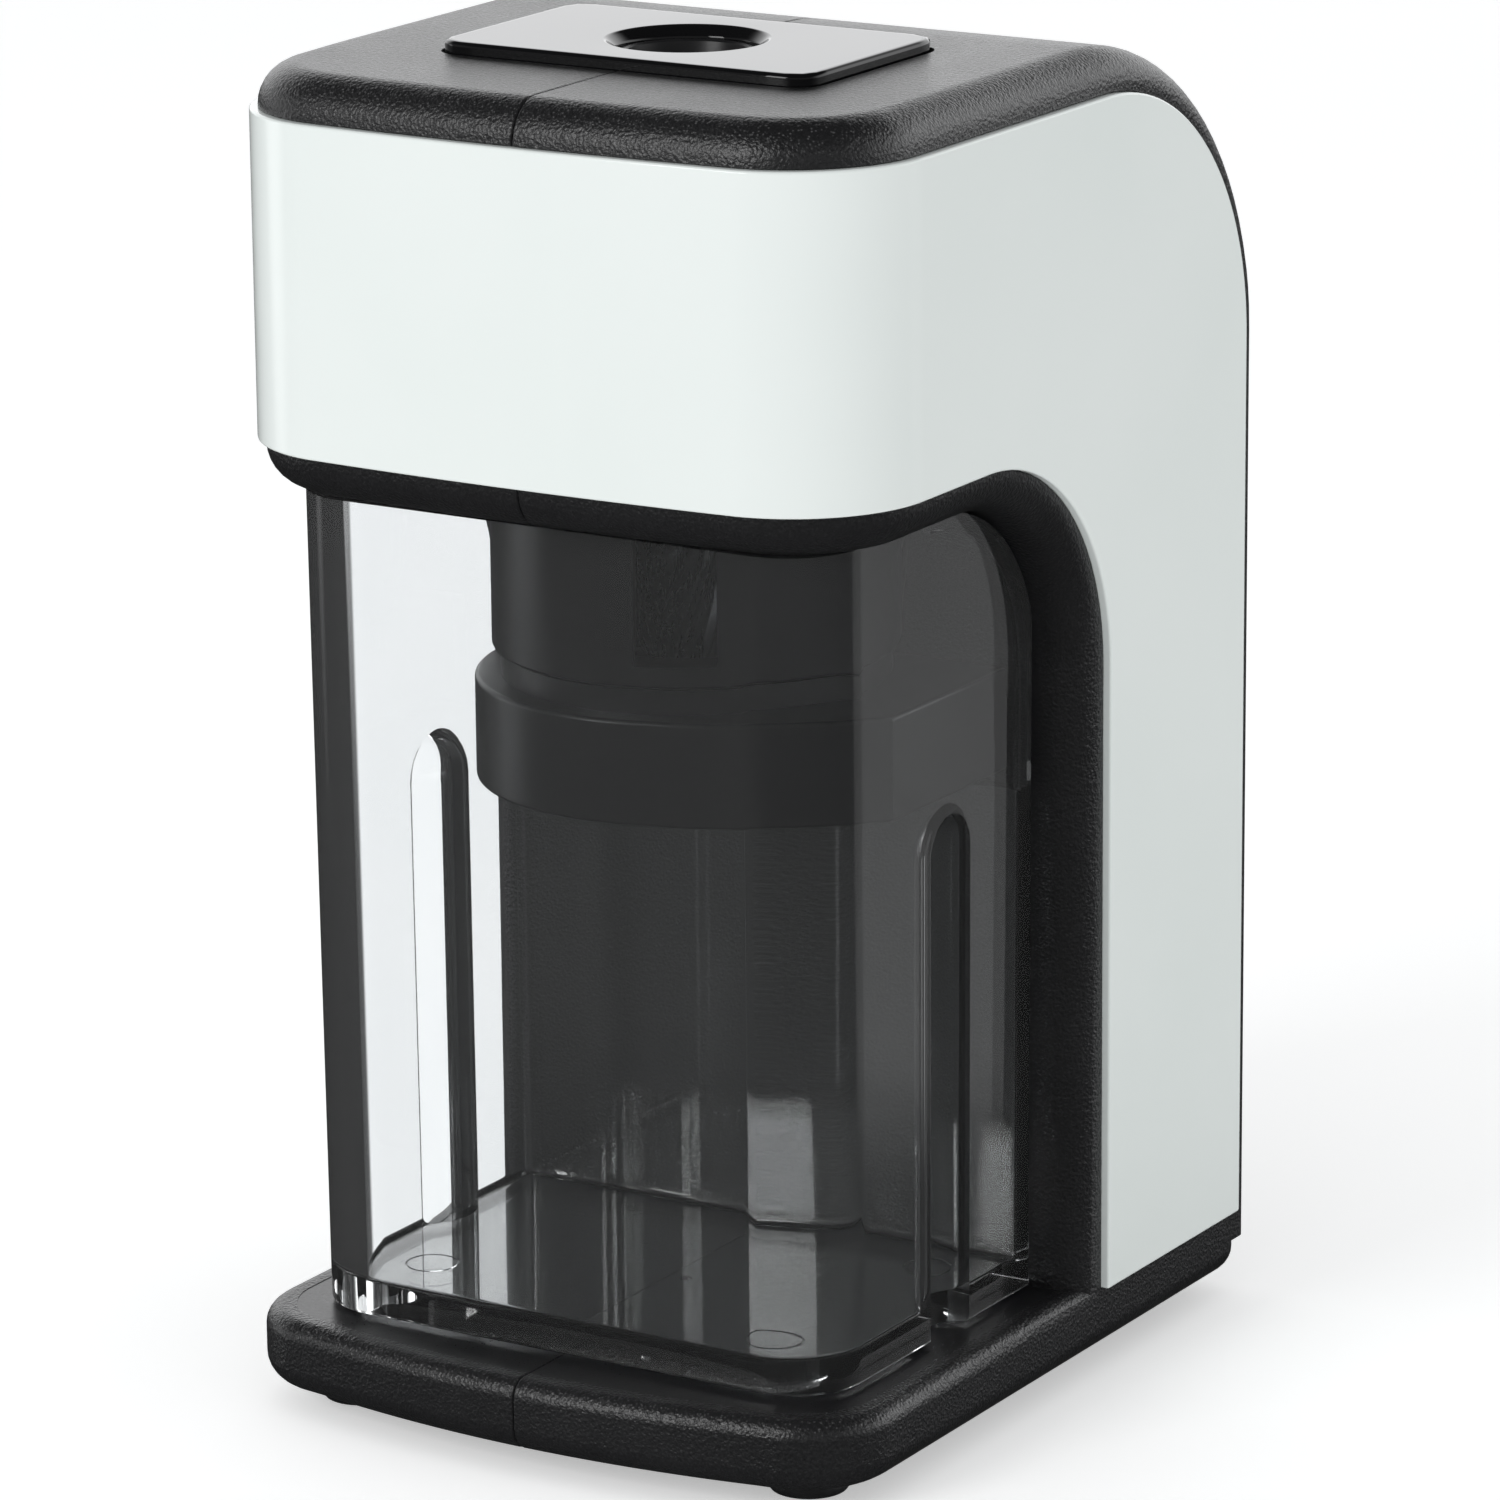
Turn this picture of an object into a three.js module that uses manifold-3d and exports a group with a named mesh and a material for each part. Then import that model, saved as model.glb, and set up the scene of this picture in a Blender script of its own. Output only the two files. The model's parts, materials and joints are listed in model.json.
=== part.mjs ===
// Upright automatic pencil sharpener with a pull-out shavings bin.
//
// Units are millimetres. +Z is up, -Y is the front (the bin side), +X is to
// the right when the front is seen. The origin is the middle of the footprint
// on the surface that the feet stand on.
//
// Black C-shaped body in two halves, white wrap-round cover, gloss top plate,
// clear bin, and inside it a helical cutter on a turning carrier, a reduction
// gear train, a small DC motor, two switches and four cells.

import * as THREE from 'three';
import { mergeVertices } from 'three/addons/utils/BufferGeometryUtils.js';
import Module from 'manifold-3d';

// ---------------------------------------------------------------- dimensions

const GAP = 0.3;                 // clearance between touching pieces

// overall
const HALF_W = 40;               // white cover, half width
const FRONT_Y = -46.94;          // foremost point of the base
const BACK_Y = 46.94;            // rear face of the body
const TOP_Z = 149.9;             // top plate surface

// white cover
const COVER_FRONT = -43.87;      // middle of the front band
const COVER_BOW = 0.77;          // the front bows forward by this much
const COVER_R = 15.4;            // vertical corner radius
const COVER_T = 2.0;             // wall
const BAND_TOP = 143.87;
const BAND_BOTTOM = 107.96;
const COVER_FOOT = 10.18;        // lower edge of the side panels
const COL_EDGE = 12.55;          // front edge of the side panels
const ARCH_R = 26.45;            // concave corner under the head
const COVER_BACK = 43.68;
const REAR_R = 31.7;             // rear top corner

// black body
const BODY_INSET = 0.9;          // body stands this far inside the cover
const BODY_TOP = 148.6;
const LIP = 4.8;                 // black lip that shows round the cover
const BASE_BOTTOM = 2.65;
const BASE_TOP = 10.9;
const BASE_HALF_W = 39.4;
const BASE_R = 11.6;
const BASE_BOW = 2.6;
const CAVITY_HALF_W = 35.4;
const WALL = 2.4;

// pencil axis
const AXIS_Y = -8.47;

// top plate
const PLATE_W = 46.1, PLATE_D = 27.8, PLATE_R = 3.0, PLATE_T = 2.2;
const HOLE_R = 7.7, HOLE_CHAMFER_R = 8.7;

// bin
const BIN_HALF_W = 32.5;         // at the floor
const BIN_DRAFT = 0.7;           // each wall leans out by this much at the top
const BIN_FRONT = -37.8;         // at the floor
const BIN_BACK = 7.4;
const BIN_BOTTOM = 11.2;
const BIN_TOP = 102.81;
const BIN_R = 8.0;
const BIN_WALL = 2.0, BIN_FLOOR = 3.0;
const BIN_BACK_TOP = 68.2;       // the back wall is low
const FLUTE_Y = -10.9, FLUTE_W = 8.9, FLUTE_DEPTH = 3.0, FLUTE_TOP = 69.9;
const BIN_ARC = 21.3;            // rear top corner of the side walls

// chute and drum
const CHUTE_R = 23.3, CHUTE_T = 2.0, CHUTE_BOTTOM = 69.6, CHUTE_TOP = 81.2;
const CHUTE_SIDE = 28.6;
const DRUM_R = 21.4, DRUM_T = 2.0, DRUM_BOTTOM = 84.2, DRUM_TOP = 110.4;
const WINDOW_AZ = 27.7;          // degrees to the right of straight ahead

// gears
const MOD = 1.0;
const RING_N = 28, CUTTER_N = 9, CARRIER_N = 40, SMALL_N = 10, LARGE_N = 24, PINION_N = 8;
const TILT = THREE.MathUtils.degToRad(11.5);
const RING_Z = 104.6, RING_H = 3.6;
const CUTTER_R = 5.0;
const CARRIER_R = 12.9;
const MOTOR_Y = 29, MOTOR_R = 13.85;
const PLATE_Z0 = 110.7, PLATE_Z1 = 113.0;

// ------------------------------------------------------------------ helpers

const wasm = await Module();
wasm.setup();

function solid(geometry) {
  const g = geometry.clone();
  for (const name of Object.keys(g.attributes)) if (name !== 'position') g.deleteAttribute(name);
  const m = mergeVertices(g, 1e-4);
  return new wasm.Manifold(new wasm.Mesh({
    numProp: 3,
    vertProperties: new Float32Array(m.attributes.position.array),
    triVerts: new Uint32Array(m.index.array),
  }));
}

function geometryOf(man) {
  const mesh = man.getMesh();
  const g = new THREE.BufferGeometry();
  g.setAttribute('position', new THREE.BufferAttribute(new Float32Array(mesh.vertProperties), 3));
  g.setIndex(new THREE.BufferAttribute(new Uint32Array(mesh.triVerts), 1));
  g.computeVertexNormals();
  return g;
}

function cut(a, ...rest) { let m = solid(a); for (const b of rest) m = m.subtract(b.isBufferGeometry ? solid(b) : b); return geometryOf(m); }
function join(a, ...rest) { let m = solid(a); for (const b of rest) m = m.add(b.isBufferGeometry ? solid(b) : b); return geometryOf(m); }
function common(a, b) { return geometryOf(solid(a).intersect(solid(b))); }

function shapeOf(points, holes = []) {
  const s = new THREE.Shape(points.map((p) => new THREE.Vector2(p[0], p[1])));
  for (const h of holes) s.holes.push(new THREE.Path(h.map((p) => new THREE.Vector2(p[0], p[1]))));
  return s;
}

// outline in X,Y raised from z0 to z1
function prismZ(points, z0, z1, holes = [], bevel = 0, seg = 2) {
  const opt = { depth: z1 - z0 - 2 * bevel, bevelEnabled: bevel > 0, steps: 1, curveSegments: 1 };
  if (bevel > 0) Object.assign(opt, { bevelThickness: bevel, bevelSize: bevel, bevelOffset: -bevel, bevelSegments: seg });
  const g = new THREE.ExtrudeGeometry(shapeOf(points, holes), opt);
  g.translate(0, 0, z0 + bevel);
  return g;
}

// outline in Y,Z run from x0 to x1
function prismX(points, x0, x1, bevel = 0, seg = 2) {
  const g = prismZ(points, x0, x1, [], bevel, seg);
  g.applyMatrix4(new THREE.Matrix4().makeBasis(new THREE.Vector3(0, 1, 0), new THREE.Vector3(0, 0, 1), new THREE.Vector3(1, 0, 0)));
  return g;
}

// outline in X,Z run from y0 to y1
function prismY(points, y0, y1, holes = [], bevel = 0, seg = 2) {
  const g = prismZ(points, -y1, -y0, holes, bevel, seg);
  g.applyMatrix4(new THREE.Matrix4().makeBasis(new THREE.Vector3(1, 0, 0), new THREE.Vector3(0, 0, 1), new THREE.Vector3(0, -1, 0)));
  return g;
}

function box(x0, x1, y0, y1, z0, z1) {
  const g = new THREE.BoxGeometry(x1 - x0, y1 - y0, z1 - z0);
  g.translate((x0 + x1) / 2, (y0 + y1) / 2, (z0 + z1) / 2);
  return g;
}

function cylZ(r, z0, z1, x = 0, y = 0, n = 24, rTop = r) {
  const g = new THREE.CylinderGeometry(rTop, r, z1 - z0, n);
  g.rotateX(Math.PI / 2);
  g.translate(x, y, (z0 + z1) / 2);
  return g;
}

function cylX(r, x0, x1, y, z, n = 12) {
  const g = new THREE.CylinderGeometry(r, r, x1 - x0, n);
  g.rotateZ(Math.PI / 2);
  g.translate((x0 + x1) / 2, y, z);
  return g;
}

// profile of [r, z] points, closed on itself or ending on the axis
function lathe(profile, n = 32) {
  const g = new THREE.LatheGeometry(profile.map((p) => new THREE.Vector2(p[0], p[1])), n);
  g.rotateX(Math.PI / 2);
  return g;
}

function arc(cx, cy, r, a0, a1, n, ry = r) {
  const out = [];
  for (let i = 0; i <= n; i++) {
    const a = THREE.MathUtils.degToRad(a0 + (a1 - a0) * i / n);
    out.push([cx + r * Math.cos(a), cy + ry * Math.sin(a)]);
  }
  return out;
}

function circle(cx, cy, r, n) { return arc(cx, cy, r, 0, 360 - 360 / n, n - 1); }

function roundRect(x0, x1, y0, y1, r, n = 4) {
  return [
    ...arc(x0 + r, y0 + r, r, 180, 270, n), ...arc(x1 - r, y0 + r, r, 270, 360, n),
    ...arc(x1 - r, y1 - r, r, 0, 90, n), ...arc(x0 + r, y1 - r, r, 90, 180, n),
  ];
}

// plan outline with a bowed front and rounded front corners, square at the back
function planOutline(halfW, front, bow, r, back, n = 6) {
  const right = [];
  for (let i = 0; i <= 3; i++) {
    const x = (halfW - r) * i / 3;
    right.push([x, front + bow * (x / (halfW - r)) ** 2]);
  }
  const c = arc(halfW - r, front + bow + r, r, 270, 360, n).slice(1);
  right.push(...c, [halfW, back]);
  const left = right.slice(1).reverse().map((p) => [-p[0], p[1]]);
  return [...left, ...right];
}

// external gear outline; phase is the angle of one tooth's middle
function gearOutline(n, phase, add = 0.85, ded = 1.15, backlash = 0.14) {
  const r = MOD * n / 2, ra = r + add * MOD, rd = r - ded * MOD, t = Math.tan(THREE.MathUtils.degToRad(20));
  const half = Math.PI * MOD / 4 - backlash;
  const at = Math.max(0.12, half - add * MOD * t) / ra, ad = Math.min(half + ded * MOD * t, Math.PI * rd / n - 0.12) / rd;
  const pts = [];
  for (let i = 0; i < n; i++) {
    const a = phase + 2 * Math.PI * i / n;
    for (const [rr, d] of [[rd, -ad], [ra, -at], [ra, at], [rd, ad]]) pts.push([rr * Math.cos(a + d), rr * Math.sin(a + d)]);
  }
  return pts;
}

// outline of the toothed hole of an internal gear; phase is the angle of one space's middle
function ringOutline(n, phase) {
  return gearOutline(n, phase, 1.15, 0.8, -0.16);
}

const group = new THREE.Group();
const BLACK = { color: 0x17181a, roughness: 0.62, metalness: 0 };
const PIANO = { color: 0x0b0b0d, roughness: 0.08, metalness: 0 };
const WHITE = { color: 0xe4e9e7, roughness: 0.14, metalness: 0 };
const CLEAR = { color: 0xe8eeee, roughness: 0.04, metalness: 0 };
const DARK = { color: 0x1b1b1d, roughness: 0.4, metalness: 0 };
const ACETAL = { color: 0xe6e4da, roughness: 0.42, metalness: 0 };
const STEEL = { color: 0xb9bcc0, roughness: 0.3, metalness: 1 };
const CAN = { color: 0xa9adb0, roughness: 0.38, metalness: 1 };
const BRASS = { color: 0xc8a24a, roughness: 0.3, metalness: 1 };
const RUBBER = { color: 0x0d0d0e, roughness: 0.55, metalness: 0 };
const PCB = { color: 0x1d6b3a, roughness: 0.45, metalness: 0 };
const SCREW = { color: 0x8d9095, roughness: 0.35, metalness: 1 };
const CELL = { color: 0x2d3a46, roughness: 0.3, metalness: 0.2 };
const NICKEL = { color: 0xc9c9c6, roughness: 0.25, metalness: 1 };

function add(name, geometry, look, place = null, parent = group) {
  const mesh = new THREE.Mesh(geometry, new THREE.MeshStandardMaterial(look));
  mesh.name = name;
  if (place) place(mesh);
  parent.add(mesh);
  return mesh;
}

// --------------------------------------------------------------- body shells

const bodyFront = COVER_FRONT + BODY_INSET;
const archY = COL_EDGE - ARCH_R, archZ = BAND_BOTTOM - ARCH_R;      // centre of the concave corner
const rearY = COVER_BACK - REAR_R, rearZ = BAND_TOP - REAR_R;        // centre of the rear top corner
const bodyArchR = ARCH_R - LIP;
const columnFront = archY + bodyArchR;
const headBottom = archZ + bodyArchR;
const coverBowFront = COVER_FRONT + COVER_BOW;

const bodyProfile = [
  ...arc(bodyFront + 4.4, headBottom + 4.4, 4.4, 180, 270, 3),
  ...arc(archY, archZ, bodyArchR, 90, 0, 10),
  [columnFront, BASE_BOTTOM + 2], [columnFront + 2, BASE_BOTTOM],
  ...arc(BACK_Y - 2.8, BASE_BOTTOM + 2.8, 2.8, 270, 360, 2),
  ...arc(rearY, rearZ, BACK_Y - rearY, 0, 90, 9, BODY_TOP - rearZ),
  ...arc(bodyFront + 4.6, BODY_TOP - 4.6, 4.6, 90, 180, 3),
];
const bodyPlan = planOutline(HALF_W - BODY_INSET, bodyFront, COVER_BOW, COVER_R - BODY_INSET, 60);
const basePlan = planOutline(BASE_HALF_W, FRONT_Y, BASE_BOW, BASE_R, columnFront + 8);

const cavity = (() => {
  const inner = [
    [-39.3, headBottom + WALL], ...arc(archY, archZ, bodyArchR + WALL, 90, 0, 8),
    [columnFront + WALL, BASE_BOTTOM + WALL], [BACK_Y - WALL, BASE_BOTTOM + WALL],
    ...arc(rearY, rearZ, BACK_Y - rearY - WALL, 0, 90, 8, BODY_TOP - rearZ - WALL),
    [-39.3, BODY_TOP - WALL],
  ];
  const c = common(prismX(inner, -CAVITY_HALF_W, CAVITY_HALF_W), prismZ(planOutline(CAVITY_HALF_W, -39.3, 0.7, 11, 60), 0, 160));
  return join(c, prismZ(planOutline(CAVITY_HALF_W, FRONT_Y + 3.4, BASE_BOW, 8.5, columnFront + 6), BASE_BOTTOM + WALL - 0.2, BASE_TOP - WALL + 0.2));
})();

// where the white cover lies, with clearance
const coverProfile = (grow) => [
  [-60, BAND_BOTTOM - grow], ...arc(archY, archZ, ARCH_R - grow, 90, 0, 10),
  [COL_EDGE - grow, COVER_FOOT - grow], [COVER_BACK + grow, COVER_FOOT - grow],
  ...arc(rearY, rearZ, REAR_R + grow, 0, 90, 9), [-60, BAND_TOP + grow],
];
const recess = cut(
  common(prismX(coverProfile(GAP), -60, 60), box(-60, 60, -60, 60, 0, 160)),
  prismZ(planOutline(HALF_W - COVER_T - GAP, COVER_FRONT + COVER_T + GAP, COVER_BOW, COVER_R - COVER_T - GAP, 70), -1, 170),
);

const bosses = [[-36.6, 130], [36, 130], [18, 40], [18, 66]];
const DOOR = { x: 31.2, z0: 12.6, z1: 70.4 };

const bodyOuter = join(
  common(prismX(bodyProfile, -(HALF_W - BODY_INSET), HALF_W - BODY_INSET, 2.2, 1), prismZ(bodyPlan, 0, 160)),
  prismZ(basePlan, BASE_BOTTOM, BASE_TOP, [], 2.4, 2),
);
let bodyHollow = cut(bodyOuter, cavity, recess);
bodyHollow = join(bodyHollow, ...bosses.map(([y, z]) => { const h = y < 0 ? 26 : CAVITY_HALF_W + 1; return cylX(3.2, -h, h, y, z, 10); }));
bodyHollow = cut(
  bodyHollow,
  // seat for the top plate, and the hole under it
  prismZ(roundRect(-PLATE_W / 2 - GAP, PLATE_W / 2 + GAP, AXIS_Y - PLATE_D / 2 - GAP, AXIS_Y + PLATE_D / 2 + GAP, PLATE_R, 3), TOP_Z - PLATE_T - GAP, 160),
  cylZ(7.8, 140, 155, 0, AXIS_Y, 32),
  // opening in the head's underside and the column for the drum
  cylZ(22.2, 83.7, headBottom + 4, 0, AXIS_Y, 36),
  // battery door opening
  box(-DOOR.x - 0.4, DOOR.x + 0.4, BACK_Y - 5, BACK_Y + 5, DOOR.z0 - 0.4, DOOR.z1 + 0.4),
  // pockets for the feet
  ...[[-1, -1], [1, -1], [-1, 1], [1, 1]].map(([sx, sy]) => cylZ(4.8, 0, BASE_BOTTOM + 0.9, sx * 28.7, sy < 0 ? -33.3 : 36, 20)),
  // screw holes along X
  ...bosses.map(([y, z]) => cylX(1.55, -16, 12, y, z, 10)),
  ...bosses.map(([y, z]) => cylX(2.3, 8.5, 50, y, z, 10)),
);
add('body_shell_right', cut(bodyHollow, box(-60, 0.15, -60, 60, -5, 170)), BLACK);
add('body_shell_left', cut(bodyHollow, box(-0.15, 60, -60, 60, -5, 170)), BLACK);

// --------------------------------------------------------------- white cover

const coverPlanOut = planOutline(HALF_W, COVER_FRONT, COVER_BOW, COVER_R, 70, 8);
const coverPlanIn = planOutline(HALF_W - COVER_T, COVER_FRONT + COVER_T, COVER_BOW, COVER_R - COVER_T, 80, 8);
add('wrap_cover', common(
  cut(prismZ(coverPlanOut, 0, 160), prismZ(coverPlanIn, -1, 170)),
  prismX(coverProfile(0), -60, 60),
), WHITE);

// ------------------------------------------------------ top plate and guide

add('top_plate', cut(
  prismZ(roundRect(-PLATE_W / 2, PLATE_W / 2, AXIS_Y - PLATE_D / 2, AXIS_Y + PLATE_D / 2, PLATE_R, 4), TOP_Z - PLATE_T, TOP_Z, [], 0.3, 1),
  cylZ(HOLE_R, 140, 155, 0, AXIS_Y, 32),
  cylZ(HOLE_R, TOP_Z - 1.0, TOP_Z + 0.001, 0, AXIS_Y, 32, HOLE_CHAMFER_R),
), PIANO);

const guide = cut(
  lathe([[4.5, 124], [7.2, 124], [7.2, 144.4], [11, 144.4], [11, 145.9], [7.4, 145.9], [7.4, 148.6], [6.9, 148.6], [4.5, 138], [4.5, 124]], 24).translate(0, AXIS_Y, 0),
  box(2, 9, AXIS_Y - 1.7, AXIS_Y + 1.7, 126.4, 139),
);
add('pencil_guide', guide, DARK);

// ---------------------------------------------------------------------- bin

const binDraft = (geometry) => {
  // walls lean outwards with height
  const p = geometry.attributes.position;
  for (let i = 0; i < p.count; i++) {
    const k = BIN_DRAFT * (p.getZ(i) - BIN_BOTTOM) / (BIN_TOP - BIN_BOTTOM);
    p.setX(i, p.getX(i) * (1 + k / BIN_HALF_W));
    if (p.getY(i) < 0) p.setY(i, p.getY(i) * (1 + k / 37.8));
  }
  return geometry;
};
const binPlan = (inset, back) => {
  const w = BIN_HALF_W - inset, r = BIN_R - inset, f = BIN_FRONT + inset;
  return [...arc(-w + r, f + r, r, 180, 270, 5), ...arc(w - r, f + r, r, 270, 360, 5), [w, back], [-w, back]];
};
const flute = (side, grow) => {
  const c = join(
    cylZ(FLUTE_W / 2 + grow, 0, FLUTE_TOP - FLUTE_W / 2, 0, 0, 16),
    new THREE.SphereGeometry(FLUTE_W / 2 + grow, 16, 8).rotateX(Math.PI / 2).translate(0, 0, FLUTE_TOP - FLUTE_W / 2),
  );
  c.scale(1, 1, 1);
  c.translate(side * (BIN_HALF_W + FLUTE_W / 2 - FLUTE_DEPTH), FLUTE_Y, 0);
  return c;
};
const binSide = [
  [-60, BIN_BOTTOM], [BIN_BACK, BIN_BOTTOM],
  ...arc(archY, archZ, BIN_ARC, 0, 90, 8), [-60, BIN_TOP],
];
const binShell = (() => {
  let outer = solid(common(prismZ(binPlan(0, BIN_BACK), BIN_BOTTOM, BIN_TOP), prismX(binSide, -60, 60)));
  let inner = solid(prismZ(binPlan(BIN_WALL, BIN_BACK - BIN_WALL), BIN_BOTTOM + BIN_FLOOR, 120));
  for (const s of [-1, 1]) {
    outer = outer.subtract(solid(flute(s, 0)));
    inner = inner.subtract(solid(flute(s, BIN_WALL - 0.2)));
  }
  let b = outer.subtract(inner);
  // low back wall
  b = b.subtract(solid(box(-BIN_HALF_W + BIN_WALL, BIN_HALF_W - BIN_WALL, 0, 20, BIN_BACK_TOP, 130)));
  return geometryOf(b);
})();
add('shavings_bin', binDraft(binShell), CLEAR);

// ------------------------------------------------------------ chute and drum

const chuteOutline = [
  [-CHUTE_R, 7.45], ...arc(0, AXIS_Y, CHUTE_R, 180, 290, 12),
  [12.2, -29.2], [17.9, -26.5], [23.1, -21.9], [27.4, -18.0], [CHUTE_SIDE, -17.0], [CHUTE_SIDE, 7.45],
];
const chute = (() => {
  const body = prismZ(chuteOutline, CHUTE_BOTTOM, CHUTE_TOP);
  const neck = cylZ(20.5, CHUTE_TOP - 0.5, DRUM_BOTTOM - GAP, 0, AXIS_Y, 32);
  const hollow = prismZ([...arc(0, AXIS_Y, CHUTE_R - CHUTE_T, 180, 360, 16), [CHUTE_R - CHUTE_T, 20], [-CHUTE_R + CHUTE_T, 20]], CHUTE_BOTTOM - 1, CHUTE_TOP - 1.5);
  return cut(
    join(body, neck), hollow, cylZ(15.6, CHUTE_TOP - 3, 90, 0, AXIS_Y, 32),
    box(-40, 40, 7.45, 20, 60, 90),
    box(22.6, 27.2, -6.2, 20, 71.2, 79.4),            // pocket for the bin switch
    cylZ(1.15, 60, 75, 24.9, 6.1, 10),                 // the plunger's hole
  );
})();
add('shavings_chute', chute, DARK);

const windowDir = THREE.MathUtils.degToRad(-90 + WINDOW_AZ);
const drum = (() => {
  const wall = lathe([[DRUM_R - DRUM_T, 85.7], [13.5, 85.7], [13.5, DRUM_BOTTOM], [DRUM_R, DRUM_BOTTOM], [DRUM_R, 108.4], [25.4, 108.4], [25.4, DRUM_TOP], [DRUM_R - DRUM_T, DRUM_TOP], [DRUM_R - DRUM_T, 85.7]], 40).translate(0, AXIS_Y, 0);
  const win = box(16, 30, -3.65, 3.65, 86.6, 99);
  win.rotateZ(windowDir); win.translate(0, AXIS_Y, 0);
  return cut(wall, win, box(-30, 30, 14.7, 30, 107, 112), ...[35, 145, 270].map((d) => {
    const a = THREE.MathUtils.degToRad(d);
    return cylZ(1.5, 100, 112, 23.4 * Math.cos(a), AXIS_Y + 23.4 * Math.sin(a), 10);
  }));
})();
add('cutter_drum', drum, DARK);

// ------------------------------------------------------------- cutting unit

const mech = new THREE.Group();
mech.position.set(0, AXIS_Y, 0);
group.add(mech);

const planetOffset = MOD * (RING_N - CUTTER_N) / 2;                   // 9.5
const planetAngle = windowDir;                                        // the cutter faces the window
const ux = Math.cos(planetAngle), uy = Math.sin(planetAngle);

add('ring_gear', cut(
  cylZ(18.9, RING_Z - RING_H / 2, RING_Z + RING_H / 2, 0, 0, 40),
  prismZ(ringOutline(RING_N, planetAngle), RING_Z - 4, RING_Z + 4),
), ACETAL, null, mech);

// the leaning unit: local Z runs up along the cutter's axis, origin at the gear
const lean = new THREE.Group();
lean.position.set(planetOffset * ux, planetOffset * uy, RING_Z);
lean.quaternion.setFromUnitVectors(new THREE.Vector3(0, 0, 1), new THREE.Vector3(Math.sin(TILT) * ux, Math.sin(TILT) * uy, Math.cos(TILT)));
mech.add(lean);

const cutterTeeth = 9, cutterSteps = 8, cutterLen = 18.5, cutterTop = -2.4;
const cutterGeometry = (() => {
  const pts = [];
  for (let i = 0; i < cutterTeeth; i++) {
    const a = 2 * Math.PI * i / cutterTeeth, s = 2 * Math.PI / cutterTeeth;
    pts.push([CUTTER_R * Math.cos(a), CUTTER_R * Math.sin(a)], [4.1 * Math.cos(a + 0.28 * s), 4.1 * Math.sin(a + 0.28 * s)]);
  }
  const g = new THREE.ExtrudeGeometry(shapeOf(pts, [circle(0, 0, 1.8, 10)]), { depth: cutterLen, steps: cutterSteps, bevelEnabled: false });
  const p = g.attributes.position;
  for (let i = 0; i < p.count; i++) {
    const z = p.getZ(i), a = z / cutterLen * 1.5, x = p.getX(i), y = p.getY(i);
    if (Math.hypot(x, y) > 2.5) p.setXY(i, x * Math.cos(a) - y * Math.sin(a), x * Math.sin(a) + y * Math.cos(a));
  }
  g.translate(0, 0, cutterTop - cutterLen);
  return g;
})();
add('helical_cutter', cutterGeometry, STEEL, null, lean);

// one tooth points straight out along the leaning direction
const outLocal = new THREE.Vector3(ux, uy, 0).applyQuaternion(lean.quaternion.clone().invert());
const cutterPhase = Math.atan2(outLocal.y, outLocal.x);
add('cutter_gear', prismZ(gearOutline(CUTTER_N, cutterPhase, 0.65, 1.1, 0.22), -1.6, 1.6, [circle(0, 0, 1.8, 10)]), BRASS, null, lean);
add('cutter_pin', cylZ(1.45, -23.4, 4.4, 0, 0, 10), STEEL, null, lean);

// carrier, in the frame of the pencil's axis
const intoMech = (g) => { const h = g.clone(); lean.updateMatrix(); h.applyMatrix4(lean.matrix); return h; };
const turn = (g) => g.rotateZ(planetAngle);
const carrier = cut(
  lathe([[0, 81.2], [CARRIER_R, 81.2], [CARRIER_R, 113.3], [9.4, 113.3], [9.4, 122.7], [0, 122.7]], 28),
  cylZ(4.7, 80, 124, 0, 0, 20),                                        // pencil bore
  turn(box(2.0, 30, -5.6, 5.6, 83.9, 102.7)),                          // window for the cutter
  intoMech(cylZ(5.6, -21.4, -2.1, 0, 0, 16)),
  intoMech(cylZ(5.7, -2.3, 2.2, 0, 0, 16)),                            // room for the cutter gear
  turn(box(7, 30, -5.7, 5.7, 102.4, 107.2)),
  intoMech(cylZ(1.78, -24, 4.8, 0, 0, 10)),                            // pin hole
  turn(box(-30, -7.5, -5, 5, 84, 99)),                                 // relief for shavings opposite
);
add('cutter_carrier', carrier, DARK, null, mech);

const smallR = MOD * SMALL_N / 2, carrierR = MOD * CARRIER_N / 2, largeR = MOD * LARGE_N / 2, pinionR = MOD * PINION_N / 2;
const dMotor = MOTOR_Y - AXIS_Y, dA = carrierR + smallR, dB = largeR + pinionR;
const alpha = Math.acos((dA * dA + dMotor * dMotor - dB * dB) / (2 * dA * dMotor));
const idler = [dA * Math.sin(alpha), dA * Math.cos(alpha)];             // from the pencil's axis
const toIdler = Math.atan2(idler[1], idler[0]);
const toMotor = Math.atan2(dMotor - idler[1], -idler[0]);

add('carrier_gear', prismZ(gearOutline(CARRIER_N, toIdler), 118, 122, [circle(0, 0, 9.75, 24)]), ACETAL, null, mech);

const reduction = cut(
  join(
    prismZ(gearOutline(SMALL_N, toIdler + Math.PI + Math.PI / SMALL_N), 116.9, 122.4),
    prismZ(gearOutline(LARGE_N, toMotor), 113.9, 117.3),
  ),
  cylZ(1.55, 110, 125, 0, 0, 12),
);
add('reduction_gear', reduction, ACETAL, (m) => m.position.set(idler[0], idler[1], 0), mech);
add('reduction_axle', cylZ(1.2, 110.9, 124.5, 0, 0, 10), STEEL, (m) => m.position.set(idler[0], idler[1], 0), mech);

// -------------------------------------------------------------------- motor

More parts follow.
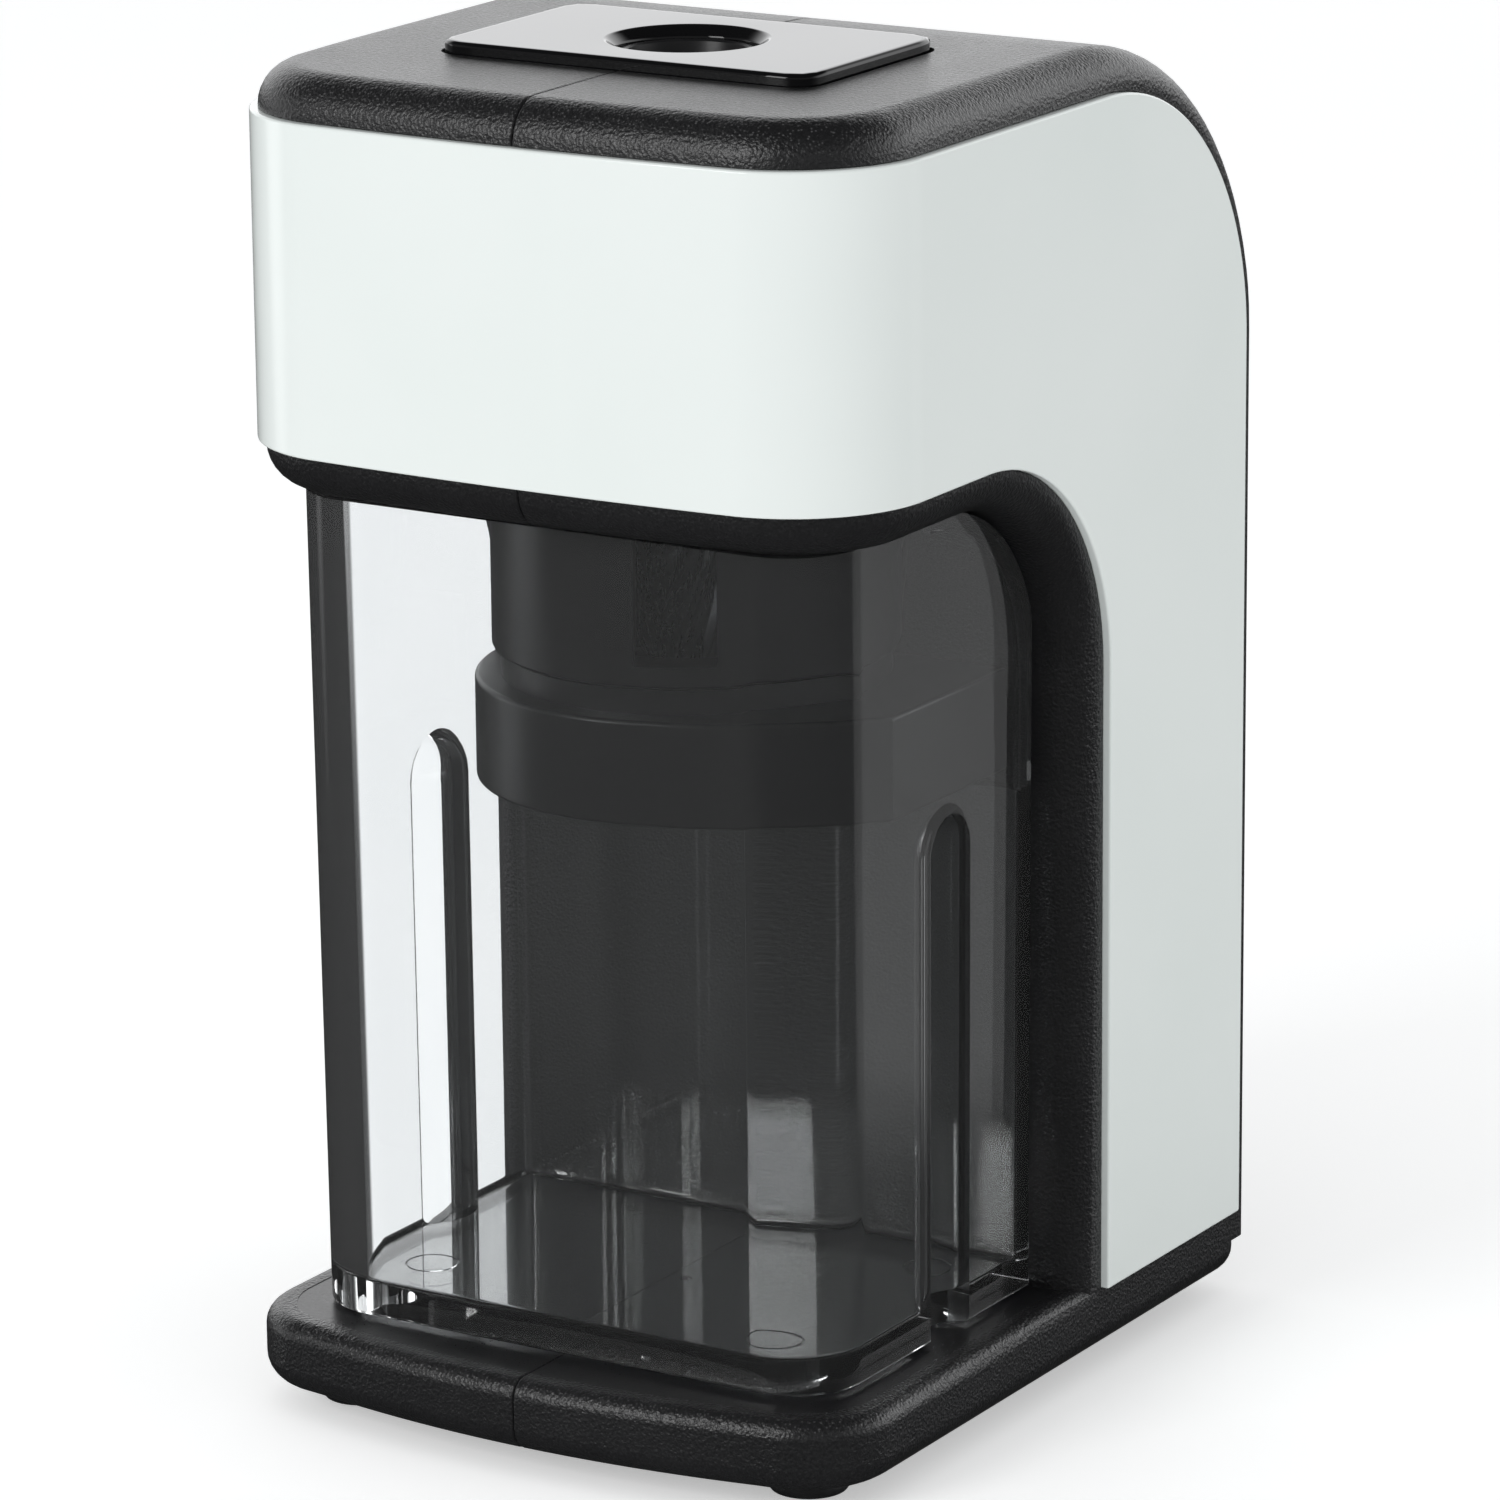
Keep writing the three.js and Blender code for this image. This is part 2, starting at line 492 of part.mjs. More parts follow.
const motor = new THREE.Group();
motor.position.set(0, MOTOR_Y, 0);
group.add(motor);
add('motor_pinion', prismZ(gearOutline(PINION_N, toMotor + Math.PI + Math.PI / PINION_N, 0.85, 1.1), 113.9, 117.3, [circle(0, 0, 1.35, 10)]), BRASS, null, motor);
add('motor_shaft', cylZ(1.0, 78, 118.4, 0, 0, 12), STEEL, null, motor);
add('motor_can', cut(
  lathe([[0, 76.8], [MOTOR_R, 76.8], [MOTOR_R, 107.6], [12.9, 108.8], [4.7, 108.8], [4.7, 110.2], [0, 110.2]], 28),
  cylZ(1.35, 70, 112, 0, 0, 12), cylZ(11.5, 70, 104, 0, 0, 24),
  ...[[6.3, 4.94], [-6.3, -4.94]].map(([x, y]) => cylZ(1.45, 103, 112, x, y, 10)),
), CAN, null, motor);
add('motor_end_cap', join(
  lathe([[0, 73.4], [12.6, 73.4], [13.6, 74.4], [13.6, 76.5], [0, 76.5]], 28),
  box(-9.6, -8.8, -1.6, 1.6, 71.2, 74), box(8.8, 9.6, -1.6, 1.6, 71.2, 74),
), DARK, null, motor);

const screwZ = (headR, headH, shankR, shankL) => lathe([[0, 0], [headR, 0], [headR, headH * 0.7], [headR * 0.7, headH], [0.0, headH]].length ? [[0, -shankL], [shankR, -shankL], [shankR, 0], [headR, 0], [headR, headH * 0.6], [headR * 0.72, headH], [0, headH]] : [], 12);
[[6.3, 4.94], [-6.3, -4.94]].forEach(([x, y], i) => add('motor_screw_' + (i + 1), screwZ(2.3, 1.4, 1.1, 7.2), SCREW, (m) => m.position.set(x, y, PLATE_Z1 + 0.3), motor));

// ------------------------------------------------------------------- gearbox

add('gearbox_plate', cut(
  prismZ(roundRect(-29, 29, -35, 41, 4, 3), PLATE_Z0, PLATE_Z1),
  cylZ(13.5, 105, 116, 0, AXIS_Y, 28),
  cylZ(5.1, 105, 116, 0, MOTOR_Y, 20),
  cylZ(1.5, 105, 116, idler[0], AXIS_Y + idler[1], 12),
  ...[[6.3, 4.94], [-6.3, -4.94]].map(([x, y]) => cylZ(1.45, 105, 116, x, MOTOR_Y + y, 10)),
  ...[35, 145, 270].map((d) => { const a = THREE.MathUtils.degToRad(d); return cylZ(1.5, 105, 116, 23.4 * Math.cos(a), AXIS_Y + 23.4 * Math.sin(a), 10); }),
), CAN);

// screws that hold the drum's flange to the plate, from below
[35, 145, 270].forEach((d, i) => {
  const a = THREE.MathUtils.degToRad(d);
  add('drum_screw_' + (i + 1), screwZ(1.8, 1.3, 1.15, 4.4), SCREW, (m) => {
    m.rotation.x = Math.PI;
    m.position.set(23.4 * Math.cos(a), AXIS_Y + 23.4 * Math.sin(a), 108.1);
  });
});

add('gear_cover', cut(
  prismZ(roundRect(-27, 27, -32, 39, 4, 3), PLATE_Z1 + GAP, 126.2),
  prismZ(roundRect(-25.6, 25.6, -30.6, 37.6, 3, 3), 100, 124.9),
  cylZ(7.6, 120, 130, 0, AXIS_Y, 24),
), DARK);

// ------------------------------------------------------------ pencil switch

const leverPivot = [9.3, 140.2];
const lever = cut(
  join(
    prismY([[leverPivot[0] - 1.9, 138.9], [leverPivot[0] + 1.4, 138.9], [leverPivot[0] + 1.7, 140.6], [leverPivot[0] + 0.6, 141.9], [leverPivot[0] - 0.9, 141.9], [leverPivot[0] - 1.9, 141.0]], AXIS_Y - 1.2, AXIS_Y + 1.2),
    prismY([[7.6, 139.4], [5.9, 137.0], [3.4, 132.4], [3.4, 130.8], [5.9, 127.8], [7.0, 127.8], [7.4, 131], [7.5, 136.6], [9.3, 139.4]], AXIS_Y - 1.2, AXIS_Y + 1.2),
  ),
  (() => { const g = new THREE.CylinderGeometry(0.85, 0.85, 6, 10); g.translate(leverPivot[0], AXIS_Y, leverPivot[1]); return g; })(),
);
add('pencil_switch_lever', lever, { color: 0xd8d6cc, roughness: 0.4, metalness: 0 });
add('lever_pin', (() => { const g = new THREE.CylinderGeometry(0.55, 0.55, 5.6, 10); g.translate(leverPivot[0], AXIS_Y, leverPivot[1]); return g; })(), STEEL);
add('pencil_switch', cut(
  join(
    box(11.9, 18.6, AXIS_Y - 6.4, AXIS_Y + 6.4, 127.4, 137.6),
    box(8.1, 18.6, AXIS_Y - 3.0, AXIS_Y - 1.6, 136.9, 142.4),
    box(8.1, 18.6, AXIS_Y + 1.6, AXIS_Y + 3.0, 136.9, 142.4),
  ),
  (() => { const g = new THREE.CylinderGeometry(0.85, 0.85, 10, 10); g.translate(leverPivot[0], AXIS_Y, leverPivot[1]); return g; })(),
), DARK);

// --------------------------------------------------------------- bin switch

add('bin_switch', box(22.9, 26.9, -5.9, 6.9, 73.3, 79.1), DARK);
add('bin_switch_plunger', lathe([[0, 68.5], [0.5, 68.6], [0.8, 69.0], [0.8, 71.6], [1.3, 71.6], [1.3, 71.9], [0, 71.9]], 10).translate(24.9, 6.1, 0), { color: 0xb03028, roughness: 0.4, metalness: 0 });

// ------------------------------------------------------------ circuit board

add('circuit_board', join(
  box(-22, 22, 25.0, 26.6, 44, 70), box(-18, -10, 20.6, 25.1, 47, 56), box(2, 12, 22.4, 25.1, 48, 60), box(15, 19, 21.6, 25.1, 46, 52),
), PCB);

// ------------------------------------------------------ battery compartment

const cellX = [-22.35, -7.45, 7.45, 22.35], cellY = 36.1, cellR = 7.1;
const tray = cut(
  box(-31.2, 31.2, 27.1, 44.3, 12.4, 70.6),
  box(-30, 30, 28.5, 50, 13.6, 69.4),
);
add('battery_tray', tray, BLACK);
cellX.forEach((x, i) => {
  const up = i % 2 === 0;
  const g = lathe([[0, 0], [cellR - 0.6, 0], [cellR, 0.5], [cellR, 48.3], [cellR - 0.7, 48.9], [2.7, 48.9], [2.7, 50.1], [0, 50.1]], 16);
  add('battery_cell_' + (i + 1), g, CELL, (m) => {
    if (up) m.position.set(x, cellY, 18.0); else { m.rotation.x = Math.PI; m.position.set(x, cellY, 65.0); }
  });
  // coil spring at the flat end of each cell, as its outer shape
  const s = lathe([[0, 0], [3.6, 0], [2.4, 2.9], [0, 2.9]], 12);
  add('battery_spring_' + (i + 1), s, NICKEL, (m) => {
    if (up) m.position.set(x, cellY, 14.8); else { m.rotation.x = Math.PI; m.position.set(x, cellY, 68.2); }
  });
});
add('contact_strip_lower', box(-29.4, 29.4, 30.5, 41.5, 13.9, 14.5), NICKEL);
add('contact_strip_upper', box(-29.4, 29.4, 30.5, 41.5, 68.5, 69.1), NICKEL);

add('battery_door', join(
  cut(
    box(-DOOR.x, DOOR.x, 44.75, BACK_Y, DOOR.z0, DOOR.z1),
    box(-8, 8, 45.9, 50, 60.5, 67.5),
  ),
  ...[0, 1, 2].map((i) => box(-7, 7, 45.8, 46.7, 61.6 + 2 * i, 62.5 + 2 * i)),
), BLACK);

// --------------------------------------------------------------- body screws

bosses.forEach(([y, z], i) => {
  const g = screwZ(2.0, 1.5, 1.2, 21);
  add('body_screw_' + (i + 1), g, SCREW, (m) => { m.rotation.y = Math.PI / 2; m.position.set(8.8, y, z); });
});

// --------------------------------------------------------------------- feet

const foot = lathe([[0, 0], [3.9, 0], [4.4, 0.4], [4.5, 1.2], [4.5, 3.2], [0, 3.2]], 20);
[['front_left', -1, -33.3], ['front_right', 1, -33.3], ['rear_left', -1, 36], ['rear_right', 1, 36]].forEach(([n, s, y]) => {
  add('foot_' + n, foot.clone(), RUBBER, (m) => m.position.set(s * 28.7, y, 0));
});

export default group;
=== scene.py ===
import json
import math
import bmesh
import bpy
from mathutils import Matrix, Vector

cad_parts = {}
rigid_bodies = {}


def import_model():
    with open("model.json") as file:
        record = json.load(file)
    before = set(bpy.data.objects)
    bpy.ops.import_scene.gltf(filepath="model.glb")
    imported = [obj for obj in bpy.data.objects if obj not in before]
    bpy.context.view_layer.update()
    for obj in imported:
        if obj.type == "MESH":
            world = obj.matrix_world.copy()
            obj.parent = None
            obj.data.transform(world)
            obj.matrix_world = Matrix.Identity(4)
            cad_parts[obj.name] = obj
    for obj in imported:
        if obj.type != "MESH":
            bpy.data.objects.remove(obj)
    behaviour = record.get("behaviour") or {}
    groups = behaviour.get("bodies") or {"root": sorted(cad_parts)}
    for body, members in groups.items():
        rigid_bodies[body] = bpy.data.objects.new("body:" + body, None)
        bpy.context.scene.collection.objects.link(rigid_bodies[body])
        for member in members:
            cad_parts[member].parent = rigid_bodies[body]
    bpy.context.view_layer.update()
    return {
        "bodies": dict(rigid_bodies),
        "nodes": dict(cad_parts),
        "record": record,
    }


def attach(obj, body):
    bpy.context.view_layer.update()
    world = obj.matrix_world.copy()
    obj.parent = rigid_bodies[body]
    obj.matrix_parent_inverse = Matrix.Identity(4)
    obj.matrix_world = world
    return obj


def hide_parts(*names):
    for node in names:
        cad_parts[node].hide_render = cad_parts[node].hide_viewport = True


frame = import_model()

MM = 0.001
scene = bpy.context.scene

# ------------------------------------------------------------------ camera
cam_data = bpy.data.cameras.new("camera")
cam = bpy.data.objects.new("camera", cam_data)
scene.collection.objects.link(cam)
AZ, EL, ROLL = math.radians(31.386), math.radians(15.256), math.radians(-0.511)
back = Vector((math.sin(AZ) * math.cos(EL), -math.cos(AZ) * math.cos(EL), math.sin(EL)))
right = Vector((math.cos(AZ), math.sin(AZ), 0))
up = back.cross(right)
right_r = math.cos(ROLL) * right + math.sin(ROLL) * up
up_r = -math.sin(ROLL) * right + math.cos(ROLL) * up
cam.matrix_world = Matrix((
    (right_r.x, up_r.x, back.x, 0.414416),
    (right_r.y, up_r.y, back.y, -0.676324),
    (right_r.z, up_r.z, back.z, 0.285953),
    (0, 0, 0, 1)))
cam_data.lens = 179.75
cam_data.sensor_width = 36
cam_data.sensor_fit = "HORIZONTAL"
cam_data.clip_start, cam_data.clip_end = 0.01, 60
scene.camera = cam
scene.view_settings.view_transform = "Standard"
scene.view_settings.look = "None"

# ------------------------------------------------- dimensions, millimetres
HALF_W, TOP_Z = 40.0, 149.9
FRONT_Y, BACK_Y = -46.94, 46.94
COVER_FRONT, COVER_BOW, COVER_R = -43.87, 0.77, 15.4
BAND_TOP, BAND_BOTTOM, COVER_FOOT, COL_EDGE = 143.87, 107.96, 10.18, 12.55
ARCH_R, COVER_BACK, REAR_R = 26.45, 43.68, 31.7
INSET, BODY_TOP, LIP = 0.9, 148.6, 4.8
BODY_W = HALF_W - INSET
BODY_FRONT = COVER_FRONT + INSET
BASE_Z0, BASE_Z1 = 2.65, 10.9
AXIS_Y = -8.47
ARCH_Y, ARCH_Z = COL_EDGE - ARCH_R, BAND_BOTTOM - ARCH_R
REAR_Y, REAR_Z = COVER_BACK - REAR_R, BAND_TOP - REAR_R
BODY_ARCH_R = ARCH_R - LIP
COL_FRONT = ARCH_Y + BODY_ARCH_R
HEAD_Z = ARCH_Z + BODY_ARCH_R


# ------------------------------------------------------------ mesh helpers
def arc(cx, cy, r, a0, a1, n, ry=None):
    ry = r if ry is None else ry
    return [(cx + r * math.cos(math.radians(a0 + (a1 - a0) * i / n)),
             cy + ry * math.sin(math.radians(a0 + (a1 - a0) * i / n))) for i in range(n + 1)]


def circle(cx, cy, r, n, a0=0.0):
    return [(cx + r * math.cos(a0 + 2 * math.pi * i / n), cy + r * math.sin(a0 + 2 * math.pi * i / n)) for i in range(n)]


def round_rect(x0, x1, y0, y1, r, n=8):
    return (arc(x0 + r, y0 + r, r, 180, 270, n) + arc(x1 - r, y0 + r, r, 270, 360, n)
            + arc(x1 - r, y1 - r, r, 0, 90, n) + arc(x0 + r, y1 - r, r, 90, 180, n))


def half_plan(half_w, front, bow, r, x0=0.0, nf=8, nc=14):
    """Right half of a plan outline, from x0 on the front round the corner."""
    flat = half_w - r
    pts = [(x0, front)] if x0 < 0 else []
    start = max(x0, 0.0)
    for i in range(nf + 1):
        x = start + (flat - start) * i / nf
        pts.append((x, front + bow * (x / flat) ** 2))
    slope = math.degrees(math.atan(2 * bow / flat))
    pts += arc(flat, front + bow + r, r, 270 + slope, 360, nc)[1:]
    return pts


def full_plan(half_w, front, bow, r, back_y, nf=8, nc=14):
    right_side = half_plan(half_w, front, bow, r, 0.0, nf, nc) + [(half_w, back_y)]
    left_side = [(-x, y) for x, y in reversed(right_side[1:])]
    return left_side + right_side


def new_object(name, verts, faces):
    me = bpy.data.meshes.new(name)
    me.from_pydata([tuple(v) for v in verts], [], [tuple(f) for f in faces])
    me.validate(clean_customdata=False)
    me.update()
    ob = bpy.data.objects.new(name, me)
    scene.collection.objects.link(ob)
    return ob


def outward(ob):
    bm = bmesh.new()
    bm.from_mesh(ob.data)
    bmesh.ops.recalc_face_normals(bm, faces=bm.faces)
    bm.to_mesh(ob.data)
    bm.free()
    return ob


def prism(name, outline, z0, z1, axis="z"):
    """Outline raised from z0 to z1; axis x takes (y, z) outlines, axis y takes (x, z)."""
    n = len(outline)
    put = {"z": lambda p, h: (p[0], p[1], h), "x": lambda p, h: (h, p[0], p[1]), "y": lambda p, h: (p[0], h, p[1])}[axis]
    verts = [put(p, z0) for p in outline] + [put(p, z1) for p in outline]
    faces = [tuple(range(n)), tuple(range(n, 2 * n))]
    faces += [(i, (i + 1) % n, n + (i + 1) % n, n + i) for i in range(n)]
    return outward(new_object(name, verts, faces))


def box(name, x0, x1, y0, y1, z0, z1):
    return prism(name, [(x0, y0), (x1, y0), (x1, y1), (x0, y1)], z0, z1)


def lathe(name, profile, n=64, centre=(0, 0, 0), closed=None):
    """Profile of (r, z); points on the axis make a pole. A profile that doesn't touch the axis closes on itself."""
    verts, rings = [], []
    for r, z in profile:
        if r < 1e-6:
            rings.append([len(verts)])
            verts.append((centre[0], centre[1], centre[2] + z))
        else:
            rings.append(list(range(len(verts), len(verts) + n)))
            verts += [(centre[0] + r * math.cos(2 * math.pi * i / n), centre[1] + r * math.sin(2 * math.pi * i / n), centre[2] + z) for i in range(n)]
    if closed is None:
        closed = all(r > 1e-6 for r, _ in profile)
    faces = []
    pairs = list(zip(rings, rings[1:])) + ([(rings[-1], rings[0])] if closed else [])
    for a, b in pairs:
        if len(a) == 1 and len(b) == 1:
            continue
        if len(a) == 1:
            faces += [(a[0], b[i], b[(i + 1) % n]) for i in range(n)]
        elif len(b) == 1:
            faces += [(a[i], b[0], a[(i + 1) % n]) for i in range(n)]
        else:
            faces += [(a[i], a[(i + 1) % n], b[(i + 1) % n], b[i]) for i in range(n)]
    return outward(new_object(name, verts, faces))


def loft(name, loops, cap=True):
    """Closed loops of equal length joined in turn."""
    n = len(loops[0])
    verts = [p for loop in loops for p in loop]
    faces = []
    for k in range(len(loops) - 1):
        faces += [(k * n + i, k * n + (i + 1) % n, (k + 1) * n + (i + 1) % n, (k + 1) * n + i) for i in range(n)]
    if cap:
        faces += [tuple(range(n)), tuple(range((len(loops) - 1) * n, len(loops) * n))]
    else:
        k = len(loops) - 1
        faces += [(k * n + i, k * n + (i + 1) % n, (i + 1) % n, i) for i in range(n)]
    return outward(new_object(name, verts, faces))


def baked(ob):
    """Applies the modifiers."""
    dg = bpy.context.evaluated_depsgraph_get()
    me = bpy.data.meshes.new_from_object(ob.evaluated_get(dg), depsgraph=dg)
    old = ob.data
    ob.modifiers.clear()
    ob.data = me
    bpy.data.meshes.remove(old)
    return ob


def boolean(a, b, op="DIFFERENCE", keep=False, solver="EXACT"):
    m = a.modifiers.new("bool", "BOOLEAN")
    m.object, m.operation, m.solver = b, op, solver
    baked(a)
    if not keep:
        me = b.data
        bpy.data.objects.remove(b)
        bpy.data.meshes.remove(me)
    return a


def cut(a, *others):
    for b in others:
        boolean(a, b)
    return a


def add(a, *others):
    for b in others:
        boolean(a, b, "UNION")
    return a


def joined(a, *others):
    """Separate shells in one object."""
    bm = bmesh.new()
    bm.from_mesh(a.data)
    for b in others:
        bm.from_mesh(b.data)
        me = b.data
        bpy.data.objects.remove(b)
        bpy.data.meshes.remove(me)
    bm.to_mesh(a.data)
    bm.free()
    return a


def bevel(ob, width, segments, pick, profile=0.5, clamp=True):
    """Bevels the edges for which pick(edge, a, b) is true; a and b are its end points."""
    bm = bmesh.new()
    bm.from_mesh(ob.data)
    bm.normal_update()
    edges = [e for e in bm.edges if pick(e, e.verts[0].co, e.verts[1].co)]
    bmesh.ops.bevel(bm, geom=edges, offset=width, offset_type="OFFSET", segments=segments, profile=profile,
                    affect="EDGES", clamp_overlap=clamp, loop_slide=True)
    bm.to_mesh(ob.data)
    bm.free()
    return ob


def sharp(deg=35, width=0.25, segments=2, where=None):
    """A pick function for bevel: edges sharper than deg, and where(mid) true."""
    lim = math.radians(deg)

    def pick(e, a, b):
        if len(e.link_faces) != 2:
            return False
        if e.calc_face_angle(0) < lim:
            return False
        return True if where is None else where((a + b) / 2, e)
    return pick


def soften(ob, width, segments=2, deg=40, clamp=True):
    return bevel(ob, width, segments, sharp(deg), clamp=clamp)


def tidy(ob, dist=0.002):
    bm = bmesh.new()
    bm.from_mesh(ob.data)
    bmesh.ops.remove_doubles(bm, verts=bm.verts, dist=dist)
    bmesh.ops.dissolve_degenerate(bm, edges=bm.edges, dist=dist)
    loose = [v for v in bm.verts if not v.link_faces]
    bmesh.ops.delete(bm, geom=loose, context="VERTS")
    bm.to_mesh(ob.data)
    bm.free()
    return ob


def transform(ob, m):
    ob.data.transform(m)
    if m.determinant() < 0:
        ob.data.flip_normals()
    return ob


def copy_of(ob, name):
    c = bpy.data.objects.new(name, ob.data.copy())
    scene.collection.objects.link(c)
    return c


def use(ob, body, slot, material, *nodes, angle=32, weighted=True):
    """Scales a millimetre mesh to metres, shades it and gives it its body, finish and CAD nodes."""
    ob.data.transform(Matrix.Diagonal((MM, MM, MM, 1)))
    ob.data.shade_smooth()
    ob.data.set_sharp_from_angle(angle=math.radians(angle))
    if weighted:
        w = ob.modifiers.new("normals", "WEIGHTED_NORMAL")
        w.keep_sharp, w.weight, w.mode = True, 60, "FACE_AREA_WITH_ANGLE"
    if material is not None:
        ob.data.materials.clear()
        ob.data.materials.append(material)
    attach(ob, body)
    if nodes:
        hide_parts(*nodes)
    return ob


# --------------------------------------------------------------- materials
class Tree:
    def __init__(self, name):
        self.m = bpy.data.materials.new(name)
        self.m.use_nodes = True
        self.t = self.m.node_tree
        self.bsdf = next(n for n in self.t.nodes if n.type == "BSDF_PRINCIPLED")
        self.coord = self.t.nodes.new("ShaderNodeTexCoord")

    def set(self, **values):
        for k, v in values.items():
            self.bsdf.inputs[k.replace("_", " ")].default_value = v
        return self

    def node(self, kind, **inputs):
        n = self.t.nodes.new(kind)
        for k, v in inputs.items():
            n.inputs[k.replace("_", " ")].default_value = v
        return n

    def noise(self, scale, detail=3.0, rough=0.5, stretch=None):
        n = self.node("ShaderNodeTexNoise", Scale=scale, Detail=detail, Roughness=rough)
        src = self.coord.outputs["Object"]
        if stretch:
            mp = self.node("ShaderNodeMapping")
            mp.inputs["Scale"].default_value = stretch
            self.t.links.new(src, mp.inputs["Vector"])
            src = mp.outputs["Vector"]
        self.t.links.new(src, n.inputs["Vector"])
        return n.outputs["Fac"]

    def voronoi(self, scale, feature="F1"):
        n = self.node("ShaderNodeTexVoronoi", Scale=scale)
        n.feature = feature
        self.t.links.new(self.coord.outputs["Object"], n.inputs["Vector"])
        return n.outputs["Distance"]

    def ramp(self, fac, stops):
        n = self.t.nodes.new("ShaderNodeValToRGB")
        el = n.color_ramp.elements
        while len(el) > 1:
            el.remove(el[-1])
        el[0].position, el[0].color = stops[0][0], (*stops[0][1], 1)
        for pos, col in stops[1:]:
            e = el.new(pos)
            e.color = (*col, 1)
        self.t.links.new(fac, n.inputs["Fac"])
        return n.outputs["Color"]

    def span(self, fac, lo, hi, a, b):
        n = self.t.nodes.new("ShaderNodeMapRange")
        for k, v in (("From Min", lo), ("From Max", hi), ("To Min", a), ("To Max", b)):
            n.inputs[k].default_value = v
        self.t.links.new(fac, n.inputs["Value"])
        return n.outputs["Result"]

    def math(self, op, a, b):
        n = self.t.nodes.new("ShaderNodeMath")
        n.operation = op
        for i, v in enumerate((a, b)):
            if isinstance(v, (int, float)):
                n.inputs[i].default_value = v
            else:
                self.t.links.new(v, n.inputs[i])
        return n.outputs[0]

    def bump(self, height, distance, strength=1.0, after=None):
        n = self.node("ShaderNodeBump", Strength=strength, Distance=distance)
        self.t.links.new(height, n.inputs["Height"])
        if after is not None:
            self.t.links.new(after, n.inputs["Normal"])
        return n.outputs["Normal"]

    def put(self, socket, out):
        self.t.links.new(out, self.bsdf.inputs[socket])
        return self


def grained_black(name, base=0.011, rough=(0.27, 0.38), grain=0.000085, scale=3600, spec=0.75, glint_paint=0.07):
    t = Tree(name).set(Specular_IOR_Level=spec, IOR=1.5)
    fine = t.noise(scale, 2.0, 0.55)
    broad = t.noise(60, 3.0)
    pits = t.voronoi(scale * 0.62)
    tone = t.ramp(t.math("ADD", t.math("MULTIPLY", fine, 0.6), t.math("MULTIPLY", broad, 0.4)),
                  [(0.25, (base * 0.75, base * 0.75, base * 0.82)), (0.5, (base, base, base * 1.08)), (0.8, (base * 1.7, base * 1.7, base * 1.85))])
    # painted glints: fine bright specks added to the base colour, painted stronger on what faces up, where the light
    # falls
    painted_glints = t.span(t.voronoi(2300), 0.1, 0.33, glint_paint, 0.0)
    geo = t.t.nodes.new("ShaderNodeNewGeometry")
    axes = t.t.nodes.new("ShaderNodeSeparateXYZ")
    t.t.links.new(geo.outputs["Normal"], axes.inputs["Vector"])
    # painted light: the normal's height brightens the painted glints on faces turned up towards the lights
    painted_glints = t.math("MULTIPLY", painted_glints, t.span(axes.outputs["Z"], 0.15, 0.7, 0.1, 1.0))
    rgb = t.t.nodes.new("ShaderNodeMixRGB")
    rgb.blend_type = "ADD"
    rgb.inputs["Fac"].default_value = 1.0
    t.t.links.new(tone, rgb.inputs["Color1"])
    t.t.links.new(painted_glints, rgb.inputs["Color2"])
    t.put("Base Color", rgb.outputs["Color"])
    t.put("Roughness", t.span(t.math("ADD", t.math("MULTIPLY", fine, 0.7), t.math("MULTIPLY", broad, 0.3)), 0.3, 0.7, rough[0], rough[1]))
    n1 = t.bump(t.math("ADD", fine, t.math("MULTIPLY", pits, 0.7)), grain)
    t.put("Normal", n1)
    return t.m


def satin(name, color, rough=(0.3, 0.42), scale=900, bump=0.000006, spec=0.5, vary=0.12, **extra):
    t = Tree(name).set(Specular_IOR_Level=spec, **extra)
    a = t.noise(70, 4.0)
    b = t.noise(scale, 2.0)
    mix = t.math("ADD", t.math("MULTIPLY", a, 0.6), t.math("MULTIPLY", b, 0.4))
    lo = tuple(c * (1 - vary) for c in color)
    hi = tuple(min(1.0, c * (1 + vary)) for c in color)
    t.put("Base Color", t.ramp(mix, [(0.3, lo), (0.5, color), (0.7, hi)]))
    t.put("Roughness", t.span(mix, 0.3, 0.7, rough[0], rough[1]))
    t.put("Normal", t.bump(b, bump))
    return t.m


def gloss_white():
    t = Tree("white gloss").set(Specular_IOR_Level=0.5, IOR=1.5, Coat_Weight=0.35, Coat_Roughness=0.04, Subsurface_Weight=0.0)
    a = t.noise(22, 3.0)
    b = t.noise(240, 2.0)
    t.put("Base Color", t.ramp(a, [(0.3, (0.765, 0.815, 0.795)), (0.5, (0.785, 0.83, 0.812)), (0.7, (0.80, 0.842, 0.825))]))
    t.put("Roughness", t.span(b, 0.3, 0.7, 0.13, 0.2))
    t.put("Normal", t.bump(t.math("ADD", t.math("MULTIPLY", a, 3.0), b), 0.000004))
    return t.m


def piano():
    t = Tree("piano black").set(Specular_IOR_Level=0.4, IOR=1.5)
    a = t.noise(30, 3.0)
    b = t.noise(3000, 2.0, stretch=(1.0, 0.04, 1.0))
    t.put("Base Color", t.ramp(a, [(0.3, (0.004, 0.004, 0.0045)), (0.7, (0.0065, 0.0065, 0.007))]))
    t.put("Roughness", t.span(b, 0.35, 0.75, 0.035, 0.09))
    t.put("Normal", t.bump(a, 0.000006))
    return t.m


def clear_styrene():
    t = Tree("clear bin").set(Transmission_Weight=0.986, IOR=1.57, Specular_IOR_Level=0.5)
    a = t.noise(35, 3.0)
    b = t.noise(2600, 2.0, stretch=(1.0, 1.0, 0.05))
    t.put("Base Color", t.ramp(a, [(0.3, (0.93, 0.945, 0.95)), (0.7, (0.955, 0.965, 0.968))]))
    t.put("Roughness", t.span(b, 0.55, 0.85, 0.012, 0.05))
    t.put("Normal", t.bump(a, 0.00001))
    return t.m


